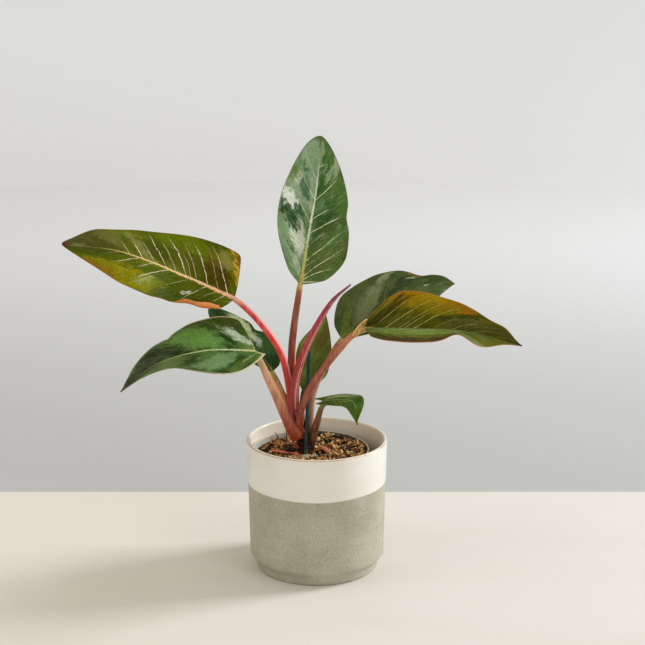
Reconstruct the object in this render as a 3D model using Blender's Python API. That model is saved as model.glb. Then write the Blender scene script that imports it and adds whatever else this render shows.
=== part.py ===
"""A philodendron in its nursery pot, standing in a two-tone stoneware cover pot.

Metres, +Z up. The origin is the middle of the cover pot's flat foot. +Y points away from
the side that is usually looked at, +X to its right.

A blade is a surface laid along a rib: each side has a half-width that grows from its base to
its widest place and tapers to the tip, and a slope that changes from the rib to the edge.
"""

import math
import random

import bmesh
import bpy
from mathutils import Matrix, Vector
from mathutils.bvhtree import BVHTree

MM = 0.001
GAP = 0.35 * MM
SEED = 11

# Cover pot
POT_HEIGHT = 133.0 * MM
POT_RIM_RADIUS = 70.0 * MM
POT_LOW_RADIUS = 67.6 * MM
POT_FOOT_RADIUS = 59.0 * MM
POT_BEVEL_HEIGHT = 15.0 * MM
POT_WALL = 3.7 * MM
POT_FLOOR = 8.0 * MM
GLAZE_LINE = 90.0 * MM
GLAZE_STEP = 0.3 * MM
POT_SIDES = 72

# Nursery pot, which stands a little to the left of the middle
INNER_OFFSET = -6.5 * MM
INNER_TOP = 122.0 * MM
INNER_RIM_RADIUS = 58.7 * MM
INNER_RIM_DEPTH = 8.0 * MM
INNER_TOP_RADIUS = 57.2 * MM
INNER_BOTTOM_RADIUS = 46.5 * MM
INNER_WALL = 1.2 * MM
INNER_BOTTOM = POT_FLOOR + GAP
DRAIN_HOLES = 6
DRAIN_RADIUS = 4.0 * MM
DRAIN_CIRCLE = 27.0 * MM
INNER_SIDES = 60

# Soil
SOIL_EDGE = 115.5 * MM
SOIL_MOUND = 3.2 * MM
SOIL_DIP = 3.2 * MM
SOIL_DIP_CENTRE = (-7.0 * MM, -3.0 * MM)
SOIL_DIP_SPREAD = 16.0 * MM
SOIL_RINGS = 9
SOIL_SIDES = 48
CHIP_COUNT = 46

# Trunk and stake
TRUNK_AXIS = (-11.5 * MM, 7.0 * MM)
TRUNK_RADIUS = 9.4 * MM
TRUNK_BOTTOM = 72.0 * MM
TRUNK_TOP = 138.0 * MM
TRUNK_SIDES = 20
STAKE_RADIUS = 1.85 * MM
STAKE_BOTTOM = (-13.0, -11.4, 58.0)
STAKE_TOP = (-7.4, 3.6, 222.0)

# Blades
BLADE_MIDDLE = 1.0 * MM
BLADE_EDGE = 0.7 * MM
RIB_DEPTH = 1.1 * MM
BLADE_ROWS = 18
BLADE_COLUMNS = (0.0, 0.07, 0.3, 0.54, 0.78, 1.0)
BLADE_END = 0.998
TIP_HALF_WIDTH = 0.9 * MM
NARROW = 8.0 * MM
STALK_SIDES = 10


def side(half, widest, base, taper, lobe, slope, dents=(), curl=(), waves=()):
    """One side of a blade, in millimetres, shares of the rib and degrees.

    half: largest half-width; widest: where along the rib; base: share of it at the base;
    taper: how pointed; lobe: how far the base reaches back; slope: at rib and at edge;
    dents: (place, depth, spread); curl: (place, spread, extra slope of the outer part);
    waves: (place, spread, lift of the edge).
    """
    return dict(half=half, widest=widest, base=base, taper=taper, lobe=lobe, slope=slope,
                dents=dents, curl=curl, waves=waves)


# Each leaf: rib and stalk points in millimetres, the way its upper face looks, its turn about
# the rib from base to tip in degrees, both sides seen from the base, and the stalk's radii.
LEAVES = {
    "leaf_top": dict(
        rib=((-16, 8, 288), (-8, 21, 335), (0, 34, 381), (4, 36, 430)),
        face=(0.0, -1.0, 0.15), turn=(15, 2),
        left=side(39, 0.44, 0.37, 0.53, -8, (30, 14), waves=((0.3, 0.1, 1.6), (0.55, 0.1, -1.6))),
        right=side(40.5, 0.23, 0.57, 0.66, -6, (25, 13), dents=((0.48, 0.09, 0.07),),
                   waves=((0.48, 0.08, 2.4), (0.68, 0.09, -1.6))),
        stalk=((-13, 10, 126), (-20, 12, 150), (-25, 12, 184), (-24.5, 10.5, 225), (-20, 8.5, 264)),
        radii=(4.8, 4.4, 4.0, 3.7, 3.3, 2.9),
    ),
    "leaf_upper_left": dict(
        rib=((-79.5, -13, 279), (-132, -15, 303.5), (-184, -35, 329), (-239, -46, 339)),
        face=(0.0, -0.63, 0.78), turn=(-14, 27),
        left=side(40, 0.54, 0.5, 0.82, -12, (7, -30), dents=((0.1, -0.18, 0.14), (0.36, 0.05, 0.08)),
                  curl=((0.14, 0.2, 190),),
                  waves=((0.5, 0.09, 1.2), (0.7, 0.09, -1.2))),
        right=side(52, 0.24, 0.89, 0.52, -7, (-4, -10), dents=((0.86, -0.42, 0.11),),
                   waves=((0.3, 0.08, 1.2), (0.5, 0.09, -1.2))),
        stalk=((-14, 7, 124), (-24, 7, 150), (-27.5, 3, 186), (-36, -1, 222), (-57, -7, 255)),
        radii=(4.6, 4.2, 3.7, 3.4, 3.0, 2.7),
    ),
    "leaf_lower_left": dict(
        rib=((-59.5, -27, 230), (-106, -42, 234), (-151, -59, 225.5), (-183, -88, 207)),
        face=(-0.05, -0.54, 0.84), turn=(-13, 38),
        left=side(36, 0.32, 0.12, 1.35, 10, (8, 1), dents=((0.58, 0.08, 0.08),),
                  waves=((0.35, 0.08, -1.0), (0.6, 0.09, 1.6))),
        right=side(40.5, 0.24, 0.84, 0.94, -10, (10, -4), dents=((0.61, 0.1, 0.03),),
                   waves=((0.35, 0.08, 1.2), (0.55, 0.07, -1.6))),
        stalk=((-14, 5, 125), (-22.5, -2, 139), (-32, -8, 161), (-41.5, -15.5, 186), (-52, -23, 210)),
        radii=(5.6, 5.9, 5.3, 4.4, 3.5, 2.9),
    ),
    "leaf_behind_left": dict(
        rib=((-44, 13, 198), (-62, 24, 219), (-86, 38, 236), (-109, 49, 254)),
        face=(0.2, -0.8, 0.55), turn=(6, 8),
        left=side(21, 0.42, 0.33, 0.62, -5, (17, 12)),
        right=side(20, 0.24, 0.5, 0.61, -1, (13, 8), dents=((0.47, 0.2, 0.06),)),
        stalk=((-14, 8, 126), (-22, 8, 146), (-30, 8, 165), (-39, 10, 184)),
        radii=(5.0, 4.6, 4.0, 3.3, 2.5),
    ),
    "leaf_back_right": dict(
        rib=((24, 22, 230), (59, 35, 256), (98, 52, 273), (140, 66, 275)),
        face=(-0.1, -0.55, 0.8), turn=(-9, 0),
        left=side(36, 0.24, 0.44, 0.82, -3, (22, 9), dents=((0.76, 0.28, 0.08), (0.96, -0.4, 0.07)),
                  waves=((0.5, 0.09, 1.4), (0.76, 0.08, -1.0))),
        right=side(41, 0.48, 0.25, 1.2, -7, (20, -10), waves=((0.3, 0.09, -1.2), (0.55, 0.09, 1.6))),
        stalk=((-10, 9, 126), (-7, 9, 150), (-2.5, 8, 180), (11, 12, 208)),
        radii=(4.2, 3.7, 3.2, 2.9, 2.5),
    ),
    "leaf_front_right": dict(
        rib=((47, -13, 249), (97, -24, 251), (147, -31, 249.5), (197, -40, 238.5)),
        face=(0.0, -0.46, 0.89), turn=(2, -6),
        left=side(40.8, 0.24, 0.2, 1.08, 0, (29, 18), dents=((0.9, -0.5, 0.08),),
                  waves=((0.35, 0.09, 1.0), (0.6, 0.09, 1.0))),
        right=side(40, 0.32, 0.54, 1.0, -8, (34, 11), dents=((0.6, 0.14, 0.08), (0.76, -0.3, 0.09)),
                   waves=((0.585, 0.075, 6.2), (0.78, 0.09, -5.0))),
        stalk=((-13, 5, 126), (-17.5, -1, 145), (-15, -6, 165), (-6, -11, 188), (10, -14.5, 213),
               (30, -14.5, 236)),
        radii=(4.6, 4.0, 3.5, 3.5, 3.4, 3.2, 2.8),
    ),
    "leaf_centre": dict(
        rib=((-14, 18, 176), (-6, 25, 201), (2, 33, 224), (9, 36, 250)),
        face=(-0.2, -1.0, 0.2), turn=(1, 0),
        left=side(18.5, 0.5, 0.24, 1.15, -4, (21, 11)),
        right=side(20, 0.3, 0.24, 0.9, -4, (20, 10)),
        stalk=((-12, 10, 126), (-15, 14, 150)),
        radii=(3.8, 3.2, 2.3),
    ),
    "leaf_small": dict(
        rib=((6, -25, 178), (23, -39, 184), (36, -54, 185), (39, -56, 164.5)),
        face=(0.1, -0.45, 0.9), turn=(-14, -8),
        left=side(14.5, 0.52, 0.7, 1.7, 18, (18, -1)),
        right=side(12.5, 0.52, 0.2, 1.15, 8, (-1, -20)),
        stalk=((-7, 7, 121), (-3, 0, 138), (1, -9, 154)),
        radii=(4.2, 4.1, 3.4, 2.3),
    ),
}

# The furled young leaf: a tapering roll that rises out of the crown and leans right
YOUNG_LEAF = ((-14, 7, 126), (-20, 4, 150), (-22, -1, 178), (-18, -4, 205), (-9, -6, 231), (3, -7, 255),
              (16, -8, 276), (33, -8, 291.5))
YOUNG_RADII = (4.8, 4.8, 4.6, 4.3, 3.9, 3.2, 2.1, 0.8)

# Dried sheath strips on the soil: plan points of the centre line and half-width, millimetres
DRY_STRIPS = {
    "dry_strip_1": (((-47, 5.5), (-36, 0.6), (-26.5, -5)), 2.4),
    "dry_strip_2": (((-30.5, 6.5), (-23.5, 1.5), (-17.5, -4)), 2.1),
}
STRIP_THICKNESS = 0.9 * MM

# Loose pieces grown over by the soil: foot and tip of each twig, and the bark flake's ends
TWIGS = (((-38, 24, 115), (-42, 22, 124)), ((-30, 18, 115), (-31, 16, 125)), ((34, 20, 115), (37, 17, 121)))
FLAKE_ENDS = ((3, 8), (17, -2))
FLAKE_ARCH = 5.0 * MM
FLAKE_HALF_WIDTH = 2.4 * MM


def clear_scene():
    for thing in list(bpy.data.objects):
        bpy.data.objects.remove(thing, do_unlink=True)


def material(name, colour, roughness, metallic=0.0):
    """Plain surface in linear colour."""
    made = bpy.data.materials.new(name)
    made.use_nodes = True
    shader = made.node_tree.nodes["Principled BSDF"]
    shader.inputs["Base Color"].default_value = (*colour, 1.0)
    shader.inputs["Roughness"].default_value = roughness
    shader.inputs["Metallic"].default_value = metallic
    return made


def finish(name, bm, surface, smooth_degrees=40, merge=True):
    """Close up a mesh, point it outwards and link it as an object."""
    if merge:
        bmesh.ops.remove_doubles(bm, verts=bm.verts, dist=1e-6)
    bmesh.ops.recalc_face_normals(bm, faces=bm.faces)
    mesh = bpy.data.meshes.new(name)
    bm.to_mesh(mesh)
    bm.free()
    mesh.shade_smooth()
    mesh.set_sharp_from_angle(angle=math.radians(smooth_degrees))
    if surface is not None:
        mesh.materials.append(surface)
    thing = bpy.data.objects.new(name, mesh)
    bpy.context.scene.collection.objects.link(thing)
    return thing


def bake(thing):
    """Apply the modifiers of an object."""
    bpy.context.view_layer.update()
    view = thing.evaluated_get(bpy.context.evaluated_depsgraph_get())
    old = thing.data
    made = bpy.data.meshes.new_from_object(view)
    thing.modifiers.clear()
    thing.data = made
    made.name = old.name
    bpy.data.meshes.remove(old)


def combine(thing, others, operation, solver="EXACT"):
    """Join others to an object, or cut them out of it, and remove them."""
    group = bpy.data.collections.new("operands")
    bpy.context.scene.collection.children.link(group)
    for other in others:
        bpy.context.scene.collection.objects.unlink(other)
        group.objects.link(other)
    modifier = thing.modifiers.new(operation.lower(), "BOOLEAN")
    modifier.operation = operation
    modifier.operand_type = "COLLECTION"
    modifier.collection = group
    modifier.solver = solver
    bake(thing)
    for other in others:
        bpy.data.objects.remove(other, do_unlink=True)
    bpy.data.collections.remove(group)


def turned(name, profile, sides, surface, centre=0.0):
    """Spin a closed profile of (radius, height) points about the vertical line at x=centre."""
    bm = bmesh.new()
    verts = [bm.verts.new((radius, 0.0, height)) for radius, height in profile]
    edges = [bm.edges.new(pair) for pair in zip(verts[:-1], verts[1:])]
    bmesh.ops.spin(bm, geom=verts + edges, cent=(0, 0, 0), axis=(0, 0, 1), angle=math.tau,
                   steps=sides, use_merge=True)
    bmesh.ops.translate(bm, verts=bm.verts, vec=(centre, 0, 0))
    return finish(name, bm, surface)


def cylinder(name, start, end, radius, sides, surface=None):
    """Straight rod between two points."""
    start, end = Vector(start), Vector(end)
    bm = bmesh.new()
    bmesh.ops.create_cone(bm, cap_ends=True, segments=sides, radius1=radius, radius2=radius,
                          depth=(end - start).length)
    turn = (end - start).to_track_quat("Z", "Y").to_matrix().to_4x4()
    bmesh.ops.transform(bm, matrix=Matrix.Translation((start + end) / 2) @ turn, verts=bm.verts)
    return finish(name, bm, surface, merge=False)


def along(points, t):
    """Smooth curve through evenly spread points, t from 0 to 1."""
    points = [Vector(point) for point in points]
    spans = len(points) - 1
    place = min(max(t, 0.0), 1.0) * spans
    index = min(int(place), spans - 1)
    f = place - index
    b, c = points[index], points[index + 1]
    a = points[index - 1] if index > 0 else 2 * b - c
    d = points[index + 2] if index + 2 <= spans else 2 * c - b
    return 0.5 * (2 * b + (c - a) * f + (2 * a - 5 * b + 4 * c - d) * f ** 2 + (3 * b - a - 3 * c + d) * f ** 3)


def tube(name, points, radii, sides, rings, surface=None):
    """Closed tube along a smooth curve, points and radii in metres, rounded at both ends."""
    spine = [along(points, i / rings) for i in range(rings + 1)]
    sizes = [along([(r, 0, 0) for r in radii], i / rings).x for i in range(rings + 1)]
    spine = [spine[0]] + spine + [spine[-1]]
    sizes = [sizes[0] * 0.6] + sizes + [sizes[-1] * 0.6]
    first = (spine[2] - spine[1]).normalized()
    last = (spine[-2] - spine[-3]).normalized()
    spine[0] = spine[1] - first * sizes[1] * 0.4
    spine[-1] = spine[-2] + last * sizes[-2] * 0.4
    across = first.orthogonal().normalized()
    bm = bmesh.new()
    previous = None
    for i, (centre, radius) in enumerate(zip(spine, sizes)):
        before, after = spine[max(i - 1, 0)], spine[min(i + 1, len(spine) - 1)]
        ahead = (after - before).normalized()
        across = (across - ahead * across.dot(ahead)).normalized()
        third = ahead.cross(across)
        ring = []
        for k in range(sides):
            angle = math.tau * k / sides
            ring.append(bm.verts.new(centre + radius * (math.cos(angle) * across + math.sin(angle) * third)))
        if previous is None:
            bm.faces.new(ring[::-1])
        else:
            for k in range(sides):
                bm.faces.new((previous[k], previous[(k + 1) % sides], ring[(k + 1) % sides], ring[k]))
        previous = ring
    bm.faces.new(previous)
    return finish(name, bm, surface, merge=False)


def half_width(part, t):
    """Half-width of one side of a blade, t along its rib."""
    if t < part["widest"]:
        share = part["base"] + (1 - part["base"]) * math.sin(math.pi / 2 * t / part["widest"])
    else:
        share = math.cos(math.pi / 2 * (t - part["widest"]) / (1 - part["widest"])) ** part["taper"]
    for place, depth, spread in part["dents"]:
        share *= 1 - depth * math.exp(-((t - place) / spread) ** 2)
    return max(part["half"] * MM * share, TIP_HALF_WIDTH)


def blade_frame(leaf, t):
    """Rib point and the directions along, up from and across the blade."""
    rib = [Vector(point) * MM for point in leaf["rib"]]
    ahead = (along(rib, min(t + 0.001, 1)) - along(rib, max(t - 0.001, 0))).normalized()
    face = Vector(leaf["face"])
    up = (face - ahead * face.dot(ahead)).normalized()
    across = ahead.cross(up)
    turn = math.radians(leaf["turn"][0] + (leaf["turn"][1] - leaf["turn"][0]) * t)
    up, across = (up * math.cos(turn) + across * math.sin(turn), across * math.cos(turn) - up * math.sin(turn))
    return along(rib, t), ahead, up, across


def blade_row(leaf, t, columns):
    """Points of the blade's middle surface from its left edge over the rib to its right edge."""
    centre, ahead, up, across = blade_frame(leaf, t)
    steps = 24
    halves = []
    for name, sign in (("left", -1), ("right", 1)):
        part = leaf[name]
        width = half_width(part, t)
        inner, outer = (math.radians(angle) for angle in part["slope"])
        out = rise = 0.0
        points = [centre.copy()]
        for k, (start, end) in enumerate(zip(columns[:-1], columns[1:])):
            for j in range(steps):
                m = start + (end - start) * (j + 0.5) / steps
                angle = inner + (outer - inner) * m
                for place, spread, extra in part["curl"]:
                    angle += math.radians(extra) * math.exp(-((t - place) / spread) ** 2) * max((m - 0.6) / 0.4, 0)
                out += width * (end - start) / steps * math.cos(angle)
                rise += width * (end - start) / steps * math.sin(angle)
            back = part["lobe"] * MM * (1 - t) ** 3 * end ** 1.4
            lift = sum(amount * math.exp(-((t - place) / spread) ** 2) for place, spread, amount in part["waves"])
            lifted = rise + lift * MM * end ** 2
            points.append(centre + across * sign * out + up * lifted - ahead * back)
        halves.append(points)
    left, right = halves
    return left[:0:-1] + right


def blade(name, leaf, surface):
    """Solid blade: the middle surface thickened both ways, with a rib below."""
    places = [BLADE_END * (1 - (1 - i / BLADE_ROWS) ** 1.35) for i in range(BLADE_ROWS + 1)]
    rows = [blade_row(leaf, t, BLADE_COLUMNS) for t in places]
    width = len(rows[0])
    middle = width // 2
    shares = list(BLADE_COLUMNS[:0:-1]) + list(BLADE_COLUMNS)
    bm = bmesh.new()
    top, bottom = [], []
    for i, (t, row) in enumerate(zip(places, rows)):
        upper, lower = [], []
        up = blade_frame(leaf, t)[2]
        room = [half_width(leaf[name], t) for name in ("left", "right")]
        for j, point in enumerate(row):
            before = rows[max(i - 1, 0)][j]
            after = rows[min(i + 1, BLADE_ROWS)][j]
            left, right = row[max(j - 1, 0)], row[min(j + 1, width - 1)]
            normal = (right - left).cross(after - before).normalized()
            # near the tip and a pinched base the walls stand square to the rib, so that they never cross
            near = min(room) if j == middle else room[j > middle]
            share = min(1.0, near / NARROW)
            normal = (normal * share + up * (1 - share)).normalized()
            half = 0.5 * (BLADE_MIDDLE + (BLADE_EDGE - BLADE_MIDDLE) * shares[j])
            depth = half + (RIB_DEPTH * (1 - 0.8 * t) if j == middle else 0.0)
            upper.append(bm.verts.new(point + normal * half))
            lower.append(bm.verts.new(point - normal * depth))
        top.append(upper)
        bottom.append(lower)
    for i in range(BLADE_ROWS):
        for j in range(width - 1):
            # the same diagonal on both faces keeps the thickness even
            a, b, c, d = (i, j), (i, j + 1), (i + 1, j + 1), (i + 1, j)
            halves = ((a, b, c), (a, c, d)) if j < middle else ((a, b, d), (b, c, d))
            for three in halves:
                bm.faces.new([top[p][q] for p, q in three])
                bm.faces.new([bottom[p][q] for p, q in reversed(three)])
    rim = [(0, j) for j in range(width)]
    rim += [(i, width - 1) for i in range(1, BLADE_ROWS + 1)]
    rim += [(BLADE_ROWS, j) for j in range(width - 2, -1, -1)]
    rim += [(i, 0) for i in range(BLADE_ROWS - 1, 0, -1)]
    for (i, j), (p, q) in zip(rim, rim[1:] + rim[:1]):
        bm.faces.new((top[p][q], top[i][j], bottom[i][j], bottom[p][q]))
    return finish(name, bm, surface, smooth_degrees=50, merge=False)


def stalk_seat(leaf):
    """Where a stalk ends: just under the rib at the blade's base."""
    centre, ahead, up, across = blade_frame(leaf, 0.0)
    radius = leaf["radii"][-1] * MM
    return centre - up * (radius + BLADE_MIDDLE / 2 + RIB_DEPTH + GAP) + ahead * 1.0 * MM


def soil_height(x, y):
    """Height of the soil over a plan point measured from the nursery pot's middle."""
    radius = math.hypot(x, y) / INNER_TOP_RADIUS
    dip = math.hypot(x - SOIL_DIP_CENTRE[0], y - SOIL_DIP_CENTRE[1]) / SOIL_DIP_SPREAD
    waves = 0.9 * math.sin(x * 130 + 1.1) * math.cos(y * 170 - 0.6) + 0.6 * math.sin(x * 290 - y * 240)
    heap = SOIL_MOUND * max(1 - radius ** 2, 0) - SOIL_DIP * math.exp(-dip ** 2)
    return SOIL_EDGE + heap + waves * MM * min(1, 3 * (1 - radius))


def make_soil(surface):
    """Filled cone of soil with a heaped, lumpy top and bark chips sunk into it."""
    rng = random.Random(SEED)
    top_radius = INNER_TOP_RADIUS - INNER_WALL - GAP
    low_radius = INNER_BOTTOM_RADIUS - INNER_WALL - GAP
    bottom = INNER_BOTTOM + INNER_WALL + GAP
    bm = bmesh.new()
    centre = bm.verts.new((0, 0, soil_height(0, 0)))
    rings = []
    for i in range(1, SOIL_RINGS + 1):
        ring = []
        for k in range(SOIL_SIDES):
            angle = math.tau * k / SOIL_SIDES
            radius = top_radius * i / SOIL_RINGS
            x, y = radius * math.cos(angle), radius * math.sin(angle)
            lump = rng.uniform(-0.7, 0.7) * MM if 2 < i < SOIL_RINGS else 0.0
            ring.append(bm.verts.new((x, y, soil_height(x, y) + lump)))
        rings.append(ring)
    for radius, height in ((low_radius, bottom + 1.0 * MM), (low_radius - 1.0 * MM, bottom)):
        ring = []
        for k in range(SOIL_SIDES):
            angle = math.tau * k / SOIL_SIDES
            ring.append(bm.verts.new((radius * math.cos(angle), radius * math.sin(angle), height)))
        rings.append(ring)
    for k in range(SOIL_SIDES):
        bm.faces.new((centre, rings[0][k], rings[0][(k + 1) % SOIL_SIDES]))
    for inner, outer in zip(rings[:-1], rings[1:]):
        for k in range(SOIL_SIDES):
            n = (k + 1) % SOIL_SIDES
            bm.faces.new((inner[k], outer[k], outer[n]))
            bm.faces.new((inner[k], outer[n], inner[n]))
    bm.faces.new(rings[-1][::-1])
    bmesh.ops.translate(bm, verts=bm.verts, vec=(INNER_OFFSET, 0, 0))
    soil = finish("soil", bm, surface, smooth_degrees=25, merge=False)

    extras = []
    kept_clear = [(TRUNK_AXIS[0], TRUNK_AXIS[1], 15 * MM), (-11.5 * MM, -6 * MM, 6 * MM)]
    for points, half in DRY_STRIPS.values():
        kept_clear += [(x * MM, y * MM, 8 * MM) for x, y in points]
    while len(extras) < CHIP_COUNT:
        reach = (top_radius - 5 * MM) * math.sqrt(rng.random())
        turn = rng.uniform(0, math.tau)
        x, y = INNER_OFFSET + reach * math.cos(turn), reach * math.sin(turn)
        if any(math.hypot(x - a, y - b) < r for a, b, r in kept_clear):
            continue
        chip = bmesh.new()
        bmesh.ops.create_cube(chip, size=1.0)
        size = [rng.uniform(2.5, 5.5) * MM, rng.uniform(1.6, 3.2) * MM, rng.uniform(1.6, 2.6) * MM]
        for vert in chip.verts:
            vert.co *= rng.uniform(0.75, 1.1)
        bmesh.ops.scale(chip, vec=size, verts=chip.verts)
        lean = Matrix.Rotation(rng.uniform(-0.45, 0.45), 4, "X") @ Matrix.Rotation(rng.uniform(-0.45, 0.45), 4, "Y")
        turned_chip = Matrix.Rotation(rng.uniform(0, math.tau), 4, "Z") @ lean
        height = soil_height(x - INNER_OFFSET, y) + 0.2 * MM
        bmesh.ops.transform(chip, matrix=Matrix.Translation((x, y, height)) @ turned_chip, verts=chip.verts)
        extras.append(finish("chip", chip, surface, merge=False))
    for foot, tip in TWIGS:
        extras.append(cylinder("twig", Vector(foot) * MM, Vector(tip) * MM, 0.55 * MM, 6, surface))
    extras.append(make_flake(surface))
    combine(soil, extras, "UNION")

    hole = cylinder("trunk_hole", (*TRUNK_AXIS, TRUNK_BOTTOM - GAP), (*TRUNK_AXIS, POT_HEIGHT + 20 * MM),
                    TRUNK_RADIUS + GAP, TRUNK_SIDES)
    start, end = Vector(STAKE_BOTTOM) * MM, Vector(STAKE_TOP) * MM
    lower = start - (end - start).normalized() * GAP
    stake_hole = cylinder("stake_hole", lower, end, STAKE_RADIUS + GAP, 12)
    combine(soil, [hole, stake_hole], "DIFFERENCE")
    return soil


def make_flake(surface):
    """Curled flake of bark arching out of the soil, both ends sunk in."""
    start = Vector((FLAKE_ENDS[0][0] * MM, FLAKE_ENDS[0][1] * MM, SOIL_EDGE - 1 * MM))
    end = Vector((FLAKE_ENDS[1][0] * MM, FLAKE_ENDS[1][1] * MM, SOIL_EDGE - 1 * MM))
    across = (end - start).cross(Vector((0, 0, 1))).normalized()
    bm = bmesh.new()
    rings = []
    count = 8
    for i in range(count + 1):
        t = i / count
        centre = start.lerp(end, t)
        centre.z += (FLAKE_ARCH + 2 * MM) * math.sin(math.pi * t) ** 0.8
        half = FLAKE_HALF_WIDTH * (0.55 + 0.45 * math.sin(math.pi * t))
        up = Vector((0, 0, 0.6 * MM))
        rings.append([bm.verts.new(centre + across * half + up), bm.verts.new(centre - across * half + up),
                      bm.verts.new(centre - across * half - up), bm.verts.new(centre + across * half - up)])
    for one, two in zip(rings[:-1], rings[1:]):
        for k in range(4):
            bm.faces.new((one[k], one[(k + 1) % 4], two[(k + 1) % 4], two[k]))
    bm.faces.new(rings[0][::-1])
    bm.faces.new(rings[-1])
    return finish("flake", bm, surface, merge=False)


def dry_strip(name, plan, half, soil, surface):
    """Thin dried strip that lies along the soil, arched across and pointed at both ends."""
    bm = bmesh.new()
    bm.from_mesh(soil.data)
    ground = BVHTree.FromBMesh(bm)
    bm.free()

    def floor_at(x, y):
        heights = []
        for dx in (-0.8, 0, 0.8):
            for dy in (-0.8, 0, 0.8):
                hit = ground.ray_cast(Vector((x + dx * MM, y + dy * MM, 1.0)), Vector((0, 0, -1)))
                heights.append(hit[0].z)
        return max(heights)

    bm = bmesh.new()
    count = 10
    rings = []
    for i in range(count + 1):
        t = i / count
        flat = [(x * MM, y * MM, 0) for x, y in plan]
        centre = along(flat, t)
        ahead = (along(flat, min(t + 0.01, 1)) - along(flat, max(t - 0.01, 0))).normalized()
        across = Vector((-ahead.y, ahead.x, 0))
        width = max(half * MM * math.sin(math.pi * (0.06 + 0.88 * t)) ** 0.7, 0.5 * MM)
        spots = [centre + across * width * s for s in (-1, 0, 1)]
        base = max(floor_at(p.x, p.y) for p in spots) + GAP
        lower = [Vector((p.x, p.y, base + rise)) for p, rise in zip(spots, (0, 0.5 * MM, 0))]
        upper = [p + Vector((0, 0, STRIP_THICKNESS)) for p in reversed(lower)]
        rings.append([bm.verts.new(p) for p in lower + upper])
    for one, two in zip(rings[:-1], rings[1:]):
        for k in range(6):
            bm.faces.new((one[k], one[(k + 1) % 6], two[(k + 1) % 6], two[k]))
    bm.faces.new(rings[0][::-1])
    bm.faces.new(rings[-1])
    return finish(name, bm, surface, smooth_degrees=30, merge=False)


def make_cover_pot(surface):
    """Straight-walled cup: bevelled foot, slight draft, glaze edge and rounded lip."""
    lip = POT_WALL / 2
    wall_at = POT_RIM_RADIUS - POT_LOW_RADIUS
    line_radius = POT_LOW_RADIUS + wall_at * (GLAZE_LINE - POT_BEVEL_HEIGHT) / (POT_HEIGHT - POT_BEVEL_HEIGHT)
    profile = [(0, 0), (POT_FOOT_RADIUS - 1.5 * MM, 0), (POT_FOOT_RADIUS, 0.8 * MM),
               (POT_LOW_RADIUS - 0.7 * MM, POT_BEVEL_HEIGHT - 1.2 * MM), (POT_LOW_RADIUS, POT_BEVEL_HEIGHT + 0.4 * MM),
               (line_radius - GLAZE_STEP, GLAZE_LINE - 0.5 * MM), (line_radius, GLAZE_LINE)]
    for k in range(6):
        angle = math.pi * k / 5
        profile.append((POT_RIM_RADIUS - lip + lip * math.cos(angle), POT_HEIGHT - lip + lip * math.sin(angle)))
    inner_low = POT_LOW_RADIUS - POT_WALL
    profile += [(inner_low, POT_BEVEL_HEIGHT + 9 * MM), (inner_low - 2.2 * MM, POT_FLOOR + 7 * MM),
                (POT_FOOT_RADIUS - 3 * MM, POT_FLOOR + 1.6 * MM), (POT_FOOT_RADIUS - 4.6 * MM, POT_FLOOR),
                (0, POT_FLOOR)]
    return turned("cover_pot", profile, POT_SIDES, surface)


def make_nursery_pot(surface):
    """Thin tapering pot with a turned-out rim band and drain holes in its floor."""
    band = INNER_TOP - INNER_RIM_DEPTH
    profile = [(0, INNER_BOTTOM), (INNER_BOTTOM_RADIUS - 1 * MM, INNER_BOTTOM),
               (INNER_BOTTOM_RADIUS, INNER_BOTTOM + 1 * MM), (INNER_TOP_RADIUS, band),
               (INNER_RIM_RADIUS - 0.2 * MM, band + 0.8 * MM), (INNER_RIM_RADIUS, INNER_TOP - 0.5 * MM),
               (INNER_RIM_RADIUS - 0.5 * MM, INNER_TOP), (INNER_RIM_RADIUS - 1.2 * MM, INNER_TOP),
               (INNER_RIM_RADIUS - 1.6 * MM, INNER_TOP - 0.6 * MM),
               (INNER_TOP_RADIUS - INNER_WALL + 0.1 * MM, band),
               (INNER_BOTTOM_RADIUS - INNER_WALL, INNER_BOTTOM + INNER_WALL + 0.8 * MM),
               (INNER_BOTTOM_RADIUS - INNER_WALL - 0.8 * MM, INNER_BOTTOM + INNER_WALL),
               (0, INNER_BOTTOM + INNER_WALL)]
    pot = turned("nursery_pot", profile, INNER_SIDES, surface, INNER_OFFSET)
    holes = []
    for k in range(DRAIN_HOLES):
        angle = math.tau * k / DRAIN_HOLES
        x, y = INNER_OFFSET + DRAIN_CIRCLE * math.cos(angle), DRAIN_CIRCLE * math.sin(angle)
        holes.append(cylinder("drain", (x, y, INNER_BOTTOM - 2 * MM), (x, y, INNER_BOTTOM + 4 * MM), DRAIN_RADIUS, 12))
    combine(pot, holes, "DIFFERENCE")
    return pot


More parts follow.
